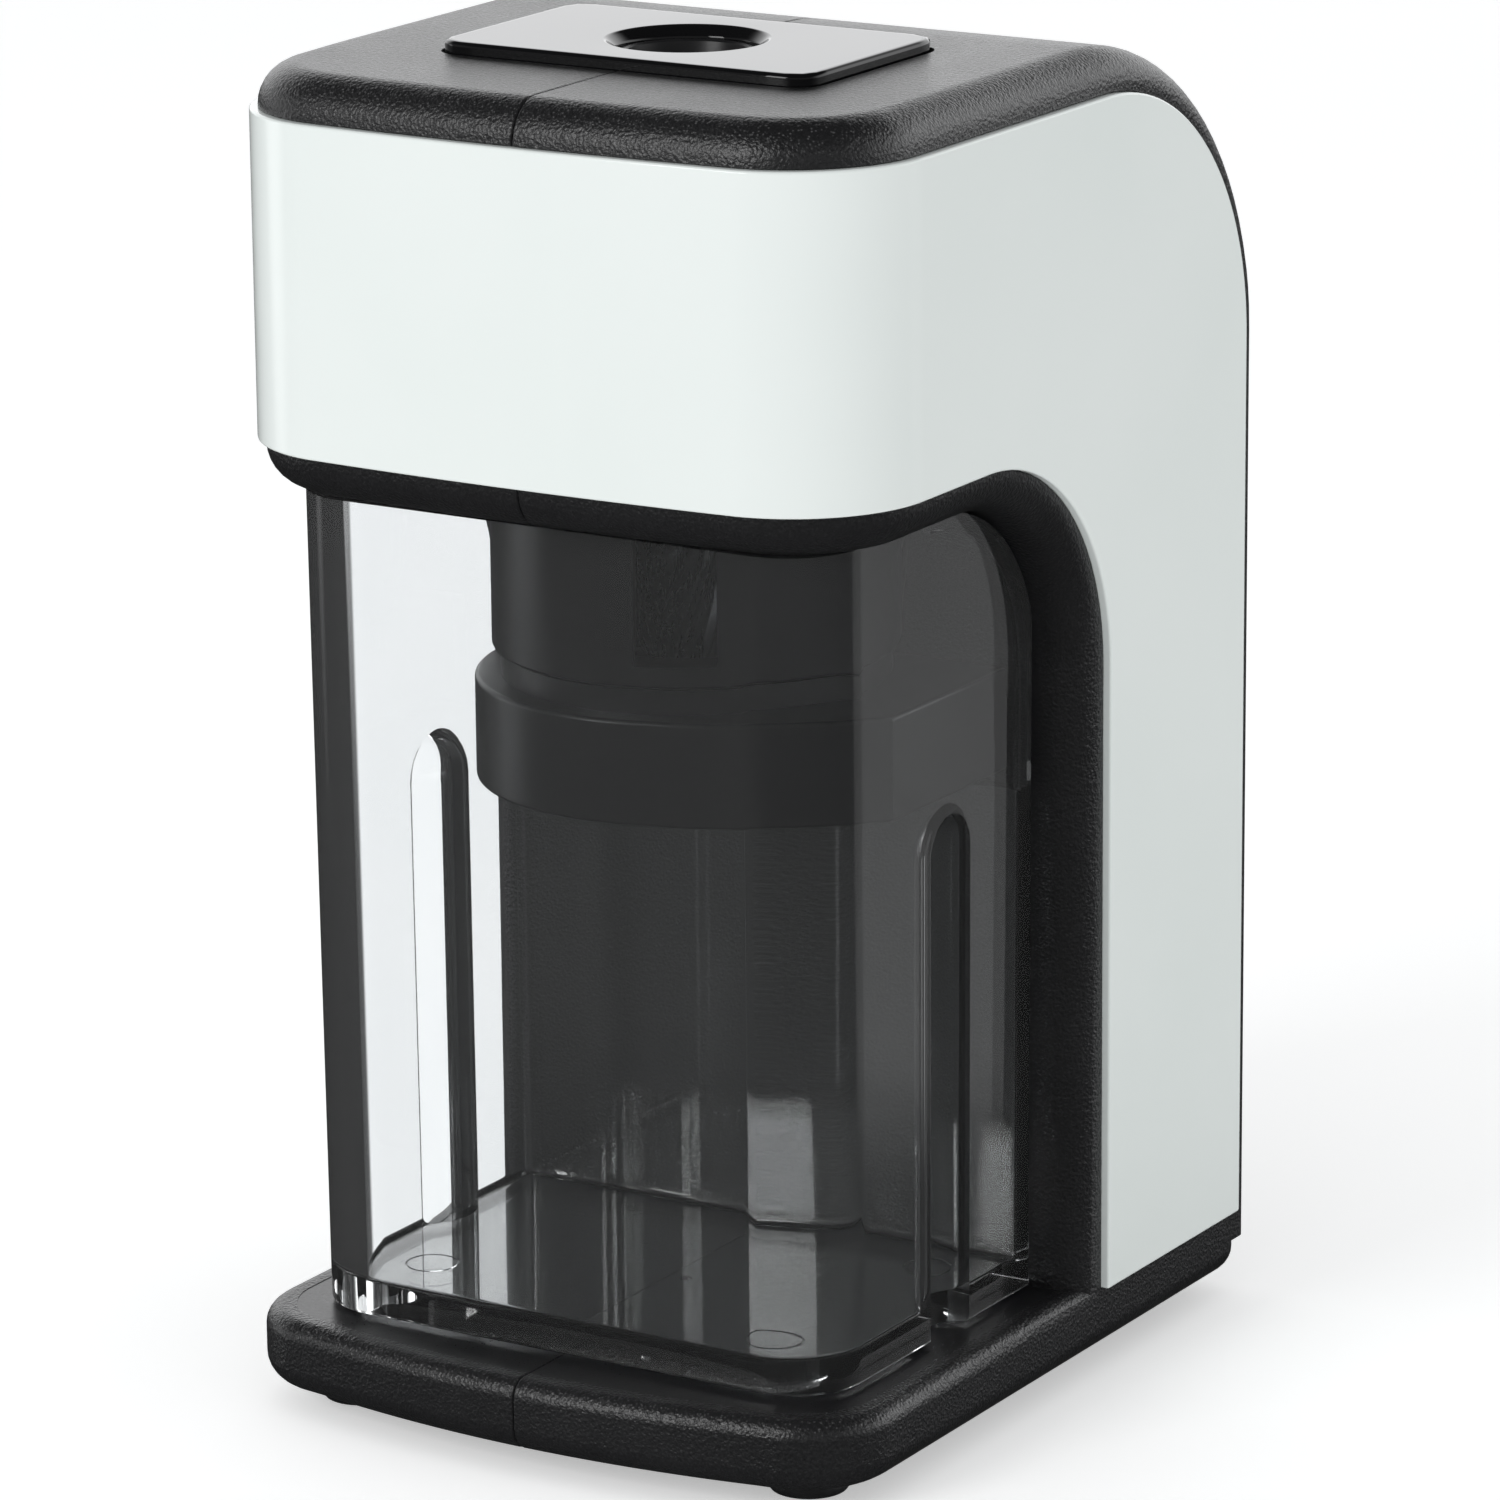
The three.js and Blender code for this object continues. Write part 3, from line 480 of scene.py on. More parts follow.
def metal(name, color, rough=(0.22, 0.36), stretch=(1, 1, 0.05), scale=1800, bump=0.000004, spot=0.1):
    t = Tree(name).set(Metallic=1.0)
    brush = t.noise(scale, 3.0, 0.6, stretch=stretch)
    broad = t.noise(90, 4.0)
    t.put("Base Color", t.ramp(broad, [(0.3, tuple(c * (1 - spot) for c in color)), (0.55, color), (0.75, tuple(min(1, c * (1 + spot * 0.6)) for c in color))]))
    t.put("Roughness", t.span(t.math("ADD", t.math("MULTIPLY", brush, 0.65), t.math("MULTIPLY", broad, 0.35)), 0.3, 0.7, rough[0], rough[1]))
    t.put("Normal", t.bump(brush, bump))
    return t.m


M = {
    "black_textured": grained_black("grained black"),
    # the flat panel gets only faint painted glints in its base colour
    "base_flat": grained_black("satin black flat", base=0.012, rough=(0.26, 0.36), grain=0.000008, scale=2600, spec=0.55, glint_paint=0.004),
    "white_gloss": gloss_white(),
    "piano_black": piano(),
    "clear_bin": clear_styrene(),
    "inner_black": satin("inner black", (0.012, 0.012, 0.013), (0.3, 0.44), bump=0.000008, vary=0.25),
    "white_acetal": satin("acetal", (0.76, 0.75, 0.70), (0.34, 0.48), vary=0.03, Subsurface_Weight=0.0),
    "cutter_steel": metal("tool steel", (0.56, 0.57, 0.59), (0.2, 0.34)),
    "motor_steel": metal("zinc steel", (0.58, 0.59, 0.60), (0.3, 0.45)),
    "brass_gear": metal("brass", (0.78, 0.58, 0.26), (0.24, 0.36)),
    "red_plastic": satin("red plastic", (0.42, 0.03, 0.02), (0.28, 0.38), vary=0.08),
    "screw_steel": metal("black zinc", (0.30, 0.31, 0.33), (0.28, 0.42)),
    "board_green": satin("solder mask", (0.02, 0.15, 0.055), (0.26, 0.36), vary=0.15),
    "cell_jacket": satin("cell jacket", (0.045, 0.075, 0.115), (0.2, 0.3), vary=0.1),
    "nickel": metal("nickel", (0.72, 0.70, 0.66), (0.16, 0.28)),
    "foot_rubber": satin("rubber", (0.011, 0.011, 0.012), (0.34, 0.5), scale=1500, bump=0.00001, vary=0.25),
}

# every CAD node that stays shown takes its procedural finish
for sub in frame["record"]["subparts"]:
    ob = frame["nodes"][sub["node"]]
    ob.data.materials.clear()
    ob.data.materials.append(M[sub["material_slot"]])


# ------------------------------------------------------------- body halves
def c_solid(name, x_in, half_w, front, bow, r, top, rear, z_foot, col, arch, nf=8, nc=16):
    """Solid of the C shape from x_in to half_w. rear runs from the top down to the foot, arch from the column to the head."""
    plan = half_plan(half_w, front, bow, r, x_in, nf, nc)
    hb = arch[-1][1]
    n = len(plan)
    verts, index = [], {}

    def v(p):
        key = tuple(round(c, 5) for c in p)
        if key not in index:
            index[key] = len(verts)
            verts.append(p)
        return index[key]
    faces = []
    top_loop = [v((x, y, top)) for x, y in plan]
    low_loop = [v((x, y, hb)) for x, y in plan]
    for i in range(n - 1):
        faces.append((top_loop[i], top_loop[i + 1], low_loop[i + 1], low_loop[i]))
    ro = [v((half_w, y, z)) for y, z in rear]
    ri = [v((x_in, y, z)) for y, z in rear]
    under = [(col, z_foot)] + arch
    uo = [v((half_w, y, z)) for y, z in under]
    ui = [v((x_in, y, z)) for y, z in under]
    faces.append(tuple(top_loop) + (ro[0], ri[0]))
    for i in range(len(ro) - 1):
        faces.append((ro[i], ro[i + 1], ri[i + 1], ri[i]))
    faces.append((ro[-1], uo[0], ui[0], ri[-1]))
    for i in range(len(uo) - 1):
        faces.append((uo[i], uo[i + 1], ui[i + 1], ui[i]))
    faces.append(tuple(low_loop) + (uo[-1], ui[-1]))
    faces.append((top_loop[-1],) + tuple(ro) + tuple(uo) + (low_loop[-1],))
    faces.append((top_loop[0],) + tuple(ri) + tuple(ui) + (low_loop[0],))
    ob = outward(new_object(name, verts, faces))
    loops = [[verts[i] for i in top_loop + ro], [verts[i] for i in low_loop + uo[::-1]]]
    return ob, loops


def bevel_loop(ob, loop, width, segments):
    """Bevels the edges that run along a loop of points."""
    pts = [Vector(p) for p in loop]
    pairs = {(tuple(round(c, 4) for c in a), tuple(round(c, 4) for c in b)) for a, b in zip(pts, pts[1:])}

    def pick(e, a, b):
        k, j = tuple(round(c, 4) for c in a), tuple(round(c, 4) for c in b)
        return (k, j) in pairs or (j, k) in pairs
    return bevel(ob, width, segments, pick, clamp=False)


def weight_bevel(ob, loop, width, segments, weight):
    """Bevels a loop's edges, each to its own width: weight(mid point) times width."""
    pts = [Vector(p) for p in loop]
    pairs = {(tuple(round(c, 4) for c in a), tuple(round(c, 4) for c in b)) for a, b in zip(pts, pts[1:])}
    me = ob.data
    att = me.attributes.new("bevel_weight_edge", "FLOAT", "EDGE")
    for e in me.edges:
        a, b = me.vertices[e.vertices[0]].co, me.vertices[e.vertices[1]].co
        k, j = tuple(round(c, 4) for c in a), tuple(round(c, 4) for c in b)
        att.data[e.index].value = weight((a + b) / 2) if (k, j) in pairs or (j, k) in pairs else 0.0
    m = ob.modifiers.new("bevel", "BEVEL")
    m.limit_method, m.width, m.segments, m.use_clamp_overlap, m.offset_type = "WEIGHT", width, segments, False, "OFFSET"
    baked(ob)
    old = ob.data.attributes.get("bevel_weight_edge")
    if old:
        ob.data.attributes.remove(old)
    return ob


def rear_profile(off, z_foot, n=20, top=BODY_TOP):
    return arc(REAR_Y, REAR_Z, BACK_Y - REAR_Y - off, 90, 0, n, top - REAR_Z - off) + [(BACK_Y - off, z_foot)]


def arch_profile(r, n=16):
    return arc(ARCH_Y, ARCH_Z, r, 0, 90, n)


c_part, loops = c_solid("body_shell_right_visual", -4, BODY_W - 0.02, BODY_FRONT, COVER_BOW, COVER_R - INSET, BODY_TOP,
                        rear_profile(0.02, 6.5, top=BODY_TOP + 0.02), 6.5, COL_FRONT, arch_profile(BODY_ARCH_R))
bevel_loop(c_part, loops[1], 4.4, 8)
# the fillet of the top edge narrows down the back
weight_bevel(c_part, loops[0], 4.6, 8, lambda p: 1.0 if p.y < REAR_Y else max(0.3, 1.0 - 0.7 * math.degrees(math.atan2(p.y - REAR_Y, max(1e-6, p.z - REAR_Z))) / 80) if p.z > REAR_Z else 0.3)

slab_plan = (half_plan(BODY_W, FRONT_Y, 2.8, 11.0, -4, 10, 14) + arc(BODY_W - 4.6, BACK_Y - 4.6, 4.6, 0, 90, 8) + [(-4, BACK_Y)])
slab = prism("slab", slab_plan, BASE_Z0, BASE_Z1)
bevel(slab, 3.0, 7, lambda e, a, b: abs(a.z - BASE_Z0) < 1e-3 and abs(b.z - BASE_Z0) < 1e-3 and not (a.x < -3.9 and b.x < -3.9), clamp=False)
bevel(slab, 2.1, 6, lambda e, a, b: abs(a.z - BASE_Z1) < 1e-3 and abs(b.z - BASE_Z1) < 1e-3 and not (a.x < -3.9 and b.x < -3.9), clamp=False)
add(c_part, slab)
tidy(c_part)


def round_seam(ob, x_seam=0.15, r=0.3, steps=3):
    """Cuts the solid near its middle plane and closes it there with a rounded edge."""
    bm = bmesh.new()
    bm.from_mesh(ob.data)
    bmesh.ops.bisect_plane(bm, geom=bm.verts[:] + bm.edges[:] + bm.faces[:], plane_co=(x_seam + r, 0, 0), plane_no=(1, 0, 0),
                           dist=1e-5, clear_inner=True)
    bm.normal_update()
    bm.edges.ensure_lookup_table()
    open_edges = [e for e in bm.edges if e.is_boundary]
    ring = {v for e in open_edges for v in e.verts}
    inward = {}
    for v in ring:
        n = Vector((0, 0, 0))
        for e in v.link_edges:
            if e.is_boundary:
                f = e.link_faces[0]
                n += f.normal.copy()
        n.x = 0
        if n.length < 1e-6:
            n = Vector((0, 0, 1))
        n.normalize()
        inward[v] = -n
    layer = {v: v for v in ring}
    for k in range(1, steps + 1):
        a = math.pi / 2 * k / steps
        nxt = {}
        for v in ring:
            nxt[v] = bm.verts.new(v.co + inward[v] * (r * (1 - math.cos(a))) + Vector((-r * math.sin(a), 0, 0)))
        for e in open_edges:
            p, q = e.verts
            bm.faces.new((layer[p], layer[q], nxt[q], nxt[p]))
        layer = nxt
    # close with one face round the loop
    start = open_edges[0].verts[0]
    order, prev, cur = [], None, start
    nbr = {v: [e.other_vert(v) for e in v.link_edges if e in set(open_edges)] for v in ring}
    while True:
        order.append(cur)
        nx = [w for w in nbr[cur] if w is not prev]
        prev, cur = cur, nx[0]
        if cur is start:
            break
    bm.faces.new([layer[v] for v in order])
    bmesh.ops.recalc_face_normals(bm, faces=bm.faces)
    bm.to_mesh(ob.data)
    bm.free()
    return ob


round_seam(c_part, 0.02)

# hollow
inner, _ = c_solid("cavity", -6, 35.4, -39.3, 0.7, 11, BODY_TOP - 2.4,
                   rear_profile(2.4, 5.05), 5.05, COL_FRONT + 2.4, arch_profile(BODY_ARCH_R + 2.4))
cut(c_part, inner)
cut(c_part, prism("base_cavity", half_plan(35.4, FRONT_Y + 3.4, 2.6, 8.5, -6) + [(35.4, COL_FRONT + 6), (-6, COL_FRONT + 6)], BASE_Z0 + 2.2, BASE_Z1 - 2.2))


def cover_solid(name, grow, half_w, front, r, x_in):
    """Right half of the cover's outline as a solid, grown in height and depth."""
    rear = arc(REAR_Y, REAR_Z, REAR_R + grow, 90, 0, 24) + [(COVER_BACK + grow, COVER_FOOT - grow)]
    arch = arc(ARCH_Y, ARCH_Z, ARCH_R - grow, 0, 90, 20)
    return c_solid(name, x_in, half_w, front, COVER_BOW, r, BAND_TOP + grow, rear, COVER_FOOT - grow, COL_EDGE - grow, arch)[0]


recess = cover_solid("recess", 0.12, 46, -52, COVER_R + 6, -6)
core = prism("core", half_plan(37.85, COVER_FRONT + 2.15, COVER_BOW, COVER_R - 2.15, -7) + [(37.85, 70), (-7, 70)], -1, 170)
cut(recess, core)
cut(c_part, recess)

cut(c_part,
    prism("plate_seat", round_rect(-23.05 - 0.4, 23.05 + 0.4, AXIS_Y - 13.9 - 0.4, AXIS_Y + 13.9 + 0.4, 3.4, 6), TOP_Z - 2.2 - 0.1, 160),
    prism("hole", circle(0, AXIS_Y, 7.8, 64), 140, 155),
    prism("drum_hole", circle(0, AXIS_Y, 22.2, 96), 83.7, HEAD_Z + 4),
    box("door_hole", -31.5, 31.5, BACK_Y - 5, BACK_Y + 5, 12.3, 70.7),
    prism("pocket_f", circle(28.7, -33.3, 4.8, 48), 0, BASE_Z0 + 0.9),
    prism("pocket_r", circle(28.7, 36, 4.8, 48), 0, BASE_Z0 + 0.9))
# the flat on the base is a shallow smooth panel
panel = half_plan(BODY_W - 3.1, FRONT_Y + 3.3, 2.7, 8.6, -6) + [(BODY_W - 3.1, COL_FRONT - 0.02), (-6, COL_FRONT - 0.02)]
cut(c_part, prism("panel", panel, BASE_Z1 - 0.06, BASE_Z1 + 3))
tidy(c_part)
body_r = c_part
body_r.data.materials.append(M["black_textured"])
body_r.data.materials.append(M["base_flat"])
body_l = copy_of(body_r, "body_shell_left_visual")
transform(body_l, Matrix.Diagonal((-1, 1, 1, 1)))
for ob, node in ((body_r, "body_shell_right"), (body_l, "body_shell_left")):
    ob.name = node + "_visual"
    use(ob, "housing", "black_textured", None, node)
    for p in ob.data.polygons:
        c = p.center
        p.material_index = 1 if (abs(c.z - (BASE_Z1 - 0.06) * MM) < 2e-5 and p.normal.z > 0.99 and c.y < COL_FRONT * MM) else 0

# ------------------------------------------------------------- white cover
def wrap_cover():
    out_r = half_plan(HALF_W, COVER_FRONT, COVER_BOW, COVER_R, 0.0, 8, 24)
    in_r = half_plan(HALF_W - 2, COVER_FRONT + 2, COVER_BOW, COVER_R - 2, 0.0, 8, 24)
    rear = arc(REAR_Y, REAR_Z, REAR_R, 90, 0, 40) + [(COVER_BACK, COVER_FOOT)]
    arch = arc(ARCH_Y, ARCH_Z, ARCH_R, 0, 90, 32)
    under = [(COL_EDGE, COVER_FOOT)] + arch
    verts, index = [], {}

    def v(*p):
        key = tuple(round(c, 5) for c in p)
        if key not in index:
            index[key] = len(verts)
            verts.append(p)
        return index[key]
    faces = []
    for s in (1, -1):
        for plan, w in ((out_r, HALF_W), (in_r, HALF_W - 2)):
            for (xa, ya), (xb, yb) in zip(plan, plan[1:]):
                faces.append((v(s * xa, ya, BAND_TOP), v(s * xb, yb, BAND_TOP), v(s * xb, yb, BAND_BOTTOM), v(s * xa, ya, BAND_BOTTOM)))
            ring = [(plan[-1][1], BAND_TOP)] + rear + under + [(plan[-1][1], BAND_BOTTOM)]
            faces.append(tuple(v(s * w, y, z) for y, z in ring))
        for (oa, ob_), (ia, ib) in zip(zip(out_r, out_r[1:]), zip(in_r, in_r[1:])):
            for z in (BAND_TOP, BAND_BOTTOM):
                faces.append((v(s * oa[0], oa[1], z), v(s * ob_[0], ob_[1], z), v(s * ib[0], ib[1], z), v(s * ia[0], ia[1], z)))
        o, i = HALF_W, HALF_W - 2
        edge = [((out_r[-1][1], BAND_TOP), (in_r[-1][1], BAND_TOP))] + [(p, p) for p in rear + under] + [((out_r[-1][1], BAND_BOTTOM), (in_r[-1][1], BAND_BOTTOM))]
        for (ao, ai), (bo, bi) in zip(edge, edge[1:]):
            faces.append((v(s * o, *ao), v(s * o, *bo), v(s * i, *bi), v(s * i, *ai)))
    ob = outward(new_object("wrap_cover_visual", verts, faces))
    bevel(ob, 0.32, 3, lambda e, a, b: len(e.link_faces) == 2 and e.calc_face_angle(0) > math.radians(60), clamp=True)
    return ob


use(wrap_cover(), "housing", "white_gloss", M["white_gloss"], "wrap_cover")

# --------------------------------------------------------------- top plate
def top_plate():
    n = 96
    w, d, r = 23.05, 13.9, 3.0

    def rect(inset, z):
        # points of a rounded rectangle, one per step of angle
        pts = []
        ol = round_rect(-w + inset, w - inset, -d + inset, d - inset, max(0.4, r - inset), 10)
        m = len(ol)
        for k in range(n):
            a = 2 * math.pi * k / n
            best = None
            for j in range(m):
                x1, y1 = ol[j]
                x2, y2 = ol[(j + 1) % m]
                dx, dy = math.cos(a), math.sin(a)
                den = (x2 - x1) * dy - (y2 - y1) * dx
                if abs(den) < 1e-12:
                    continue
                t = (y1 * dx - x1 * dy) / den
                if -1e-9 <= t <= 1 + 1e-9:
                    px, py = x1 + t * (x2 - x1), y1 + t * (y2 - y1)
                    if px * dx + py * dy > 0:
                        best = (px, py)
            pts.append((best[0], best[1] + AXIS_Y, z))
        return pts

    def ring(rad, z):
        return [(rad * math.cos(2 * math.pi * k / n), rad * math.sin(2 * math.pi * k / n) + AXIS_Y, z) for k in range(n)]
    zb, zt = TOP_Z - 2.2, TOP_Z
    loops = [ring(7.7, zb), rect(0.0, zb), rect(0.0, zt - 0.55)]
    for k in range(1, 5):
        a = math.pi / 2 * k / 4
        loops.append(rect(0.55 * (1 - math.cos(a)), zt - 0.55 + 0.55 * math.sin(a)))
    loops += [rect(0.9, zt), ring(9.0, zt), ring(8.75, zt - 0.06), ring(8.55, zt - 0.25), ring(7.9, zt - 0.95), ring(7.72, zt - 1.25)]
    return loft("top_plate_visual", loops, cap=False)


use(top_plate(), "housing", "piano_black", M["piano_black"], "top_plate", angle=40)

guide = lathe("pencil_guide_visual", [(4.5, 124), (4.9, 123.7), (6.9, 123.7), (7.2, 124), (7.2, 144.2), (10.8, 144.2), (11, 144.4), (11, 145.7), (10.8, 145.9),
                                      (7.5, 145.9), (7.4, 146.1), (7.4, 148.4), (7.25, 148.6), (7.0, 148.6), (6.8, 148.4), (4.62, 138.4), (4.5, 137.6)], 72, (0, AXIS_Y, 0))
cut(guide, box("slot", 2, 9, AXIS_Y - 1.7, AXIS_Y + 1.7, 126.4, 139))
use(guide, "housing", "inner_black", M["inner_black"], "pencil_guide")

# --------------------------------------------------------------------- bin
BIN_W, BIN_FRONT, BIN_BACK, BIN_Z0, BIN_Z1, BIN_R = 33.2, -37.8, 7.4, 11.2, 102.81, 8.0
BACK_TOP, FLUTE_Y, FLUTE_R, FLUTE_TOP = 68.2, -10.9, 4.45, 69.9


def bin_outline(inset, back_y, r_back, r=BIN_R):
    w, f = BIN_W - inset, BIN_FRONT + inset
    return (arc(-w + r, f + r, r, 180, 270, 14) + arc(w - r, f + r, r, 270, 360, 14)
            + arc(w - r_back, back_y - r_back, r_back, 0, 90, 6) + arc(-w + r_back, back_y - r_back, r_back, 90, 180, 6))


def capsule(name, x, y, r, z0, z_top, n=40):
    prof = [(0, z0), (r, z0)] + [(r * math.cos(a), z_top - r + r * math.sin(a)) for a in [math.pi / 2 * k / 8 for k in range(9)]]
    prof[-1] = (0, z_top)
    return lathe(name, prof, n, (x, y, 0))


def shavings_bin():
    outer = prism("shavings_bin_visual", bin_outline(0, BIN_BACK, 1.2), BIN_Z0, BIN_Z1)
    bevel(outer, 0.45, 3, lambda e, a, b: abs(a.z - BIN_Z0) < 1e-3 and abs(b.z - BIN_Z0) < 1e-3, clamp=False)
    hollow = prism("bin_hollow", bin_outline(2.0, BIN_BACK - 2.0, 1.0, 8.2), BIN_Z0 + 3.3, 130)
    bevel(hollow, 0.8, 4, lambda e, a, b: abs(a.z - BIN_Z0 - 3.3) < 1e-3 and abs(b.z - BIN_Z0 - 3.3) < 1e-3, clamp=False)
    side = [(-60, BIN_Z0 - 5), (20, BIN_Z0 - 5), (20, BACK_TOP), (BIN_BACK, BACK_TOP)]
    for s in (-1, 1):
        x = s * (BIN_W + FLUTE_R - 3.0)
        cut(outer, capsule("flute", x, FLUTE_Y, FLUTE_R, 0, FLUTE_TOP))
        cut(hollow, capsule("flute_in", x, FLUTE_Y, FLUTE_R + 1.8, 0, FLUTE_TOP + 1.8))
    cut(outer, hollow)
    # witness marks of three ejector pins and of the gate
    for x, y in ((-23.0, -26.6), (22.5, -29.0), (24.0, -1.5)):
        mark = lathe("mark", [(2.75, BIN_Z0 + 3.3 - 0.22), (2.95, BIN_Z0 + 3.3 - 0.22), (3.05, BIN_Z0 + 4), (2.65, BIN_Z0 + 4)], 48, (x, y, 0))
        cut(outer, mark)
    cut(outer, lathe("gate", [(0, BIN_Z0 + 3.3 - 0.35), (0.5, BIN_Z0 + 3.3 - 0.3), (0.9, BIN_Z0 + 4), (0, BIN_Z0 + 4)], 24, (4.0, -17.0, 0)))
    # low back wall, with rounded ends where the side walls start
    cut(outer, box("back", -BIN_W + 2.0, BIN_W - 2.0, 1.0, 20, BACK_TOP, 140))
    # a bead inside the rim of each side wall
    line = [(BIN_BACK, BACK_TOP - 2.0)] + arc(ARCH_Y, ARCH_Z, 21.3, 0, 90, 24) + arc(ARCH_Y, ARCH_Z, 19.4, 90, 0, 24) + [(BIN_BACK - 1.9, BACK_TOP - 2.0)]
    for s in (-1, 1):
        xs = sorted((s * (BIN_W - 2.9), s * (BIN_W - 1.0)))
        add(outer, prism("bead", line, xs[0], xs[1], "x"))
    # side walls follow the arch
    keep = arc(ARCH_Y, ARCH_Z, 21.3, 0, 90, 24)
    away = [(30, 60), (30, 140), (ARCH_Y - 0.001, 140)] + keep[::-1] + [(BIN_BACK + 0.0, 60)]
    away = [(BIN_BACK + 0.001, 60), (30, 60), (30, 140), (ARCH_Y, 140)] + keep[::-1][:-1] + [(BIN_BACK, ARCH_Z)]
    cut(outer, prism("away", [(30, 70), (30, 140), (ARCH_Y, 140)] + keep[::-1], -60, 60, "x"))
    tidy(outer)
    return outer


the_bin = shavings_bin()
bevel(the_bin, 0.35, 3, sharp(50, where=lambda m, e: m.z > BACK_TOP - 1), clamp=True)


def lean(ob):
    """The walls lean outwards with height, as moulded walls do."""
    for v in ob.data.vertices:
        k = 0.7 * (v.co.z - BIN_Z0) / (BIN_Z1 - BIN_Z0)
        v.co.x *= 1 + 0.6 * k / BIN_W
        if v.co.y < 0:
            v.co.y *= 1 + k / 37.8
    return ob


lean(the_bin)
use(the_bin, "bin", "clear_bin", M["clear_bin"], "shavings_bin", angle=40)

# ---------------------------------------------------------- chute and drum
CH_R, CH_Z0, CH_Z1, DR_R, DR_Z0, DR_Z1 = 23.3, 69.6, 81.2, 21.4, 84.2, 110.4
W_AZ = math.radians(-90 + 27.7)


def shavings_chute():
    outline = [(-CH_R, 7.45)] + arc(0, AXIS_Y, CH_R, 180, 290, 40) + [(12.2, -29.2), (17.9, -26.5), (23.1, -21.9), (27.4, -18.0), (28.6, -17.0), (28.6, 7.45)]
    body = prism("shavings_chute_visual", outline, CH_Z0, CH_Z1)
    bevel(body, 0.5, 3, lambda e, a, b: (abs(a.z - CH_Z1) < 1e-3 and abs(b.z - CH_Z1) < 1e-3) or (abs(a.z - CH_Z0) < 1e-3 and abs(b.z - CH_Z0) < 1e-3), clamp=False)
    add(body, prism("neck", circle(0, AXIS_Y, 20.5, 96), CH_Z1 - 0.5, DR_Z0 - 0.3))
    cut(body, prism("hollow", arc(0, AXIS_Y, CH_R - 2, 180, 360, 48) + [(CH_R - 2, 20), (-CH_R + 2, 20)], CH_Z0 - 1, CH_Z1 - 1.5),
        prism("bore", circle(0, AXIS_Y, 15.6, 72), CH_Z1 - 3, 90),
        box("back", -40, 40, 7.45, 20, 60, 90),
        box("switch_pocket", 22.6, 27.2, -6.2, 20, 71.2, 79.4),
        prism("plunger_hole", circle(24.9, 6.1, 1.15, 32), 60, 75))
    ear = box("ear", -24.1, -22.2, AXIS_Y - 1.5, AXIS_Y + 1.5, 78.0, 82.5)
    add(body, soften(ear, 0.3, 2, 60))
    return tidy(body)


use(shavings_chute(), "housing", "inner_black", M["inner_black"], "shavings_chute")


def cutter_drum():
    d = lathe("cutter_drum_visual", [(DR_R - 2, 85.7), (13.5, 85.7), (13.5, 84.4), (13.7, DR_Z0), (DR_R - 0.5, DR_Z0), (DR_R - 0.15, DR_Z0 + 0.15), (DR_R, DR_Z0 + 0.5),
                                     (DR_R, 108.4), (25.1, 108.4), (25.4, 108.7), (25.4, DR_Z1 - 0.3), (25.1, DR_Z1), (DR_R - 2, DR_Z1)], 120, (0, AXIS_Y, 0))
    win = box("win", 16, 30, -4.4, 4.4, 86.6, 103.5)
    transform(win, Matrix.Translation((0, AXIS_Y, 0)) @ Matrix.Rotation(W_AZ, 4, "Z"))
    cut(d, win, box("flange_flat", -30, 30, 14.7, 30, 107, 112))
    for deg in (35, 145, 270):
        a = math.radians(deg)
        cut(d, prism("screw_hole", circle(23.4 * math.cos(a), AXIS_Y + 23.4 * math.sin(a), 1.5, 24), 100, 112))
    return tidy(d)


use(cutter_drum(), "housing", "inner_black", M["inner_black"], "cutter_drum")

# ------------------------------------------------------------ inner pieces
BODY_OF = {}
for body_name, body_ob in frame["bodies"].items():
    for node_name, node_ob in frame["nodes"].items():
        if node_ob.parent == body_ob:
            BODY_OF[node_name] = body_name
SLOT_OF = {s["node"]: s["material_slot"] for s in frame["record"]["subparts"]}

BAND = satin("cell band", (0.44, 0.17, 0.05), (0.2, 0.3), vary=0.08, Metallic=0.7)
CHIP = satin("chip", (0.02, 0.02, 0.022), (0.35, 0.5), vary=0.2)
SLEEVE = satin("capacitor sleeve", (0.02, 0.03, 0.09), (0.22, 0.32), vary=0.15)


def paint(ob, k):
    for p in ob.data.polygons:
        p.material_index = k
    return ob


def fit(ob, node, *mats, angle=32, weighted=True):
    """Puts a finished millimetre mesh in its node's place."""
    ob.name = node + "_visual"
    for m in mats or (M[SLOT_OF[node]],):
        ob.data.materials.append(m)
    return use(ob, BODY_OF[node], SLOT_OF[node], None, node, angle=angle, weighted=weighted)


def ring_loop(r, z, n, twist=0.0):
    return [(r * math.cos(2 * math.pi * i / n + twist), r * math.sin(2 * math.pi * i / n + twist), z) for i in range(n)]


def involute(n, phase, add=0.85, ded=1.15, backlash=0.14, steps=6, pa=20.0):
    """Outline of an involute gear of module 1; phase is the angle of one tooth's middle."""
    a0 = math.radians(pa)
    rp, ra, rd = n / 2, n / 2 + add, n / 2 - ded
    rb = rp * math.cos(a0)
    half = (math.pi / 4 - backlash) / rp
    inv = math.tan(a0) - a0

    def at(r):
        a = math.acos(min(1.0, rb / r))
        return half + inv - (math.tan(a) - a)
    while at(ra) < 0.1 / ra:
        ra -= 0.03
    pts = []
    low = max(rb, rd + 0.08)
    for i in range(n):
        c = phase + 2 * math.pi * i / n
        flank = [(low + (ra - low) * k / steps) for k in range(steps + 1)]
        root = at(low) + 0.10 / rd
        left = [(rd, -min(root, math.pi / n - 0.01))] + [(r, -at(r)) for r in flank]
        left[-1] = (ra - 0.05, -at(ra - 0.05))
        left.append((ra, -at(ra) * 0.8))
        right = [(r, -a) for r, a in reversed(left)]
        for r, a in left + right:
            pts.append((r * math.cos(c + a), r * math.sin(c + a)))
    return pts


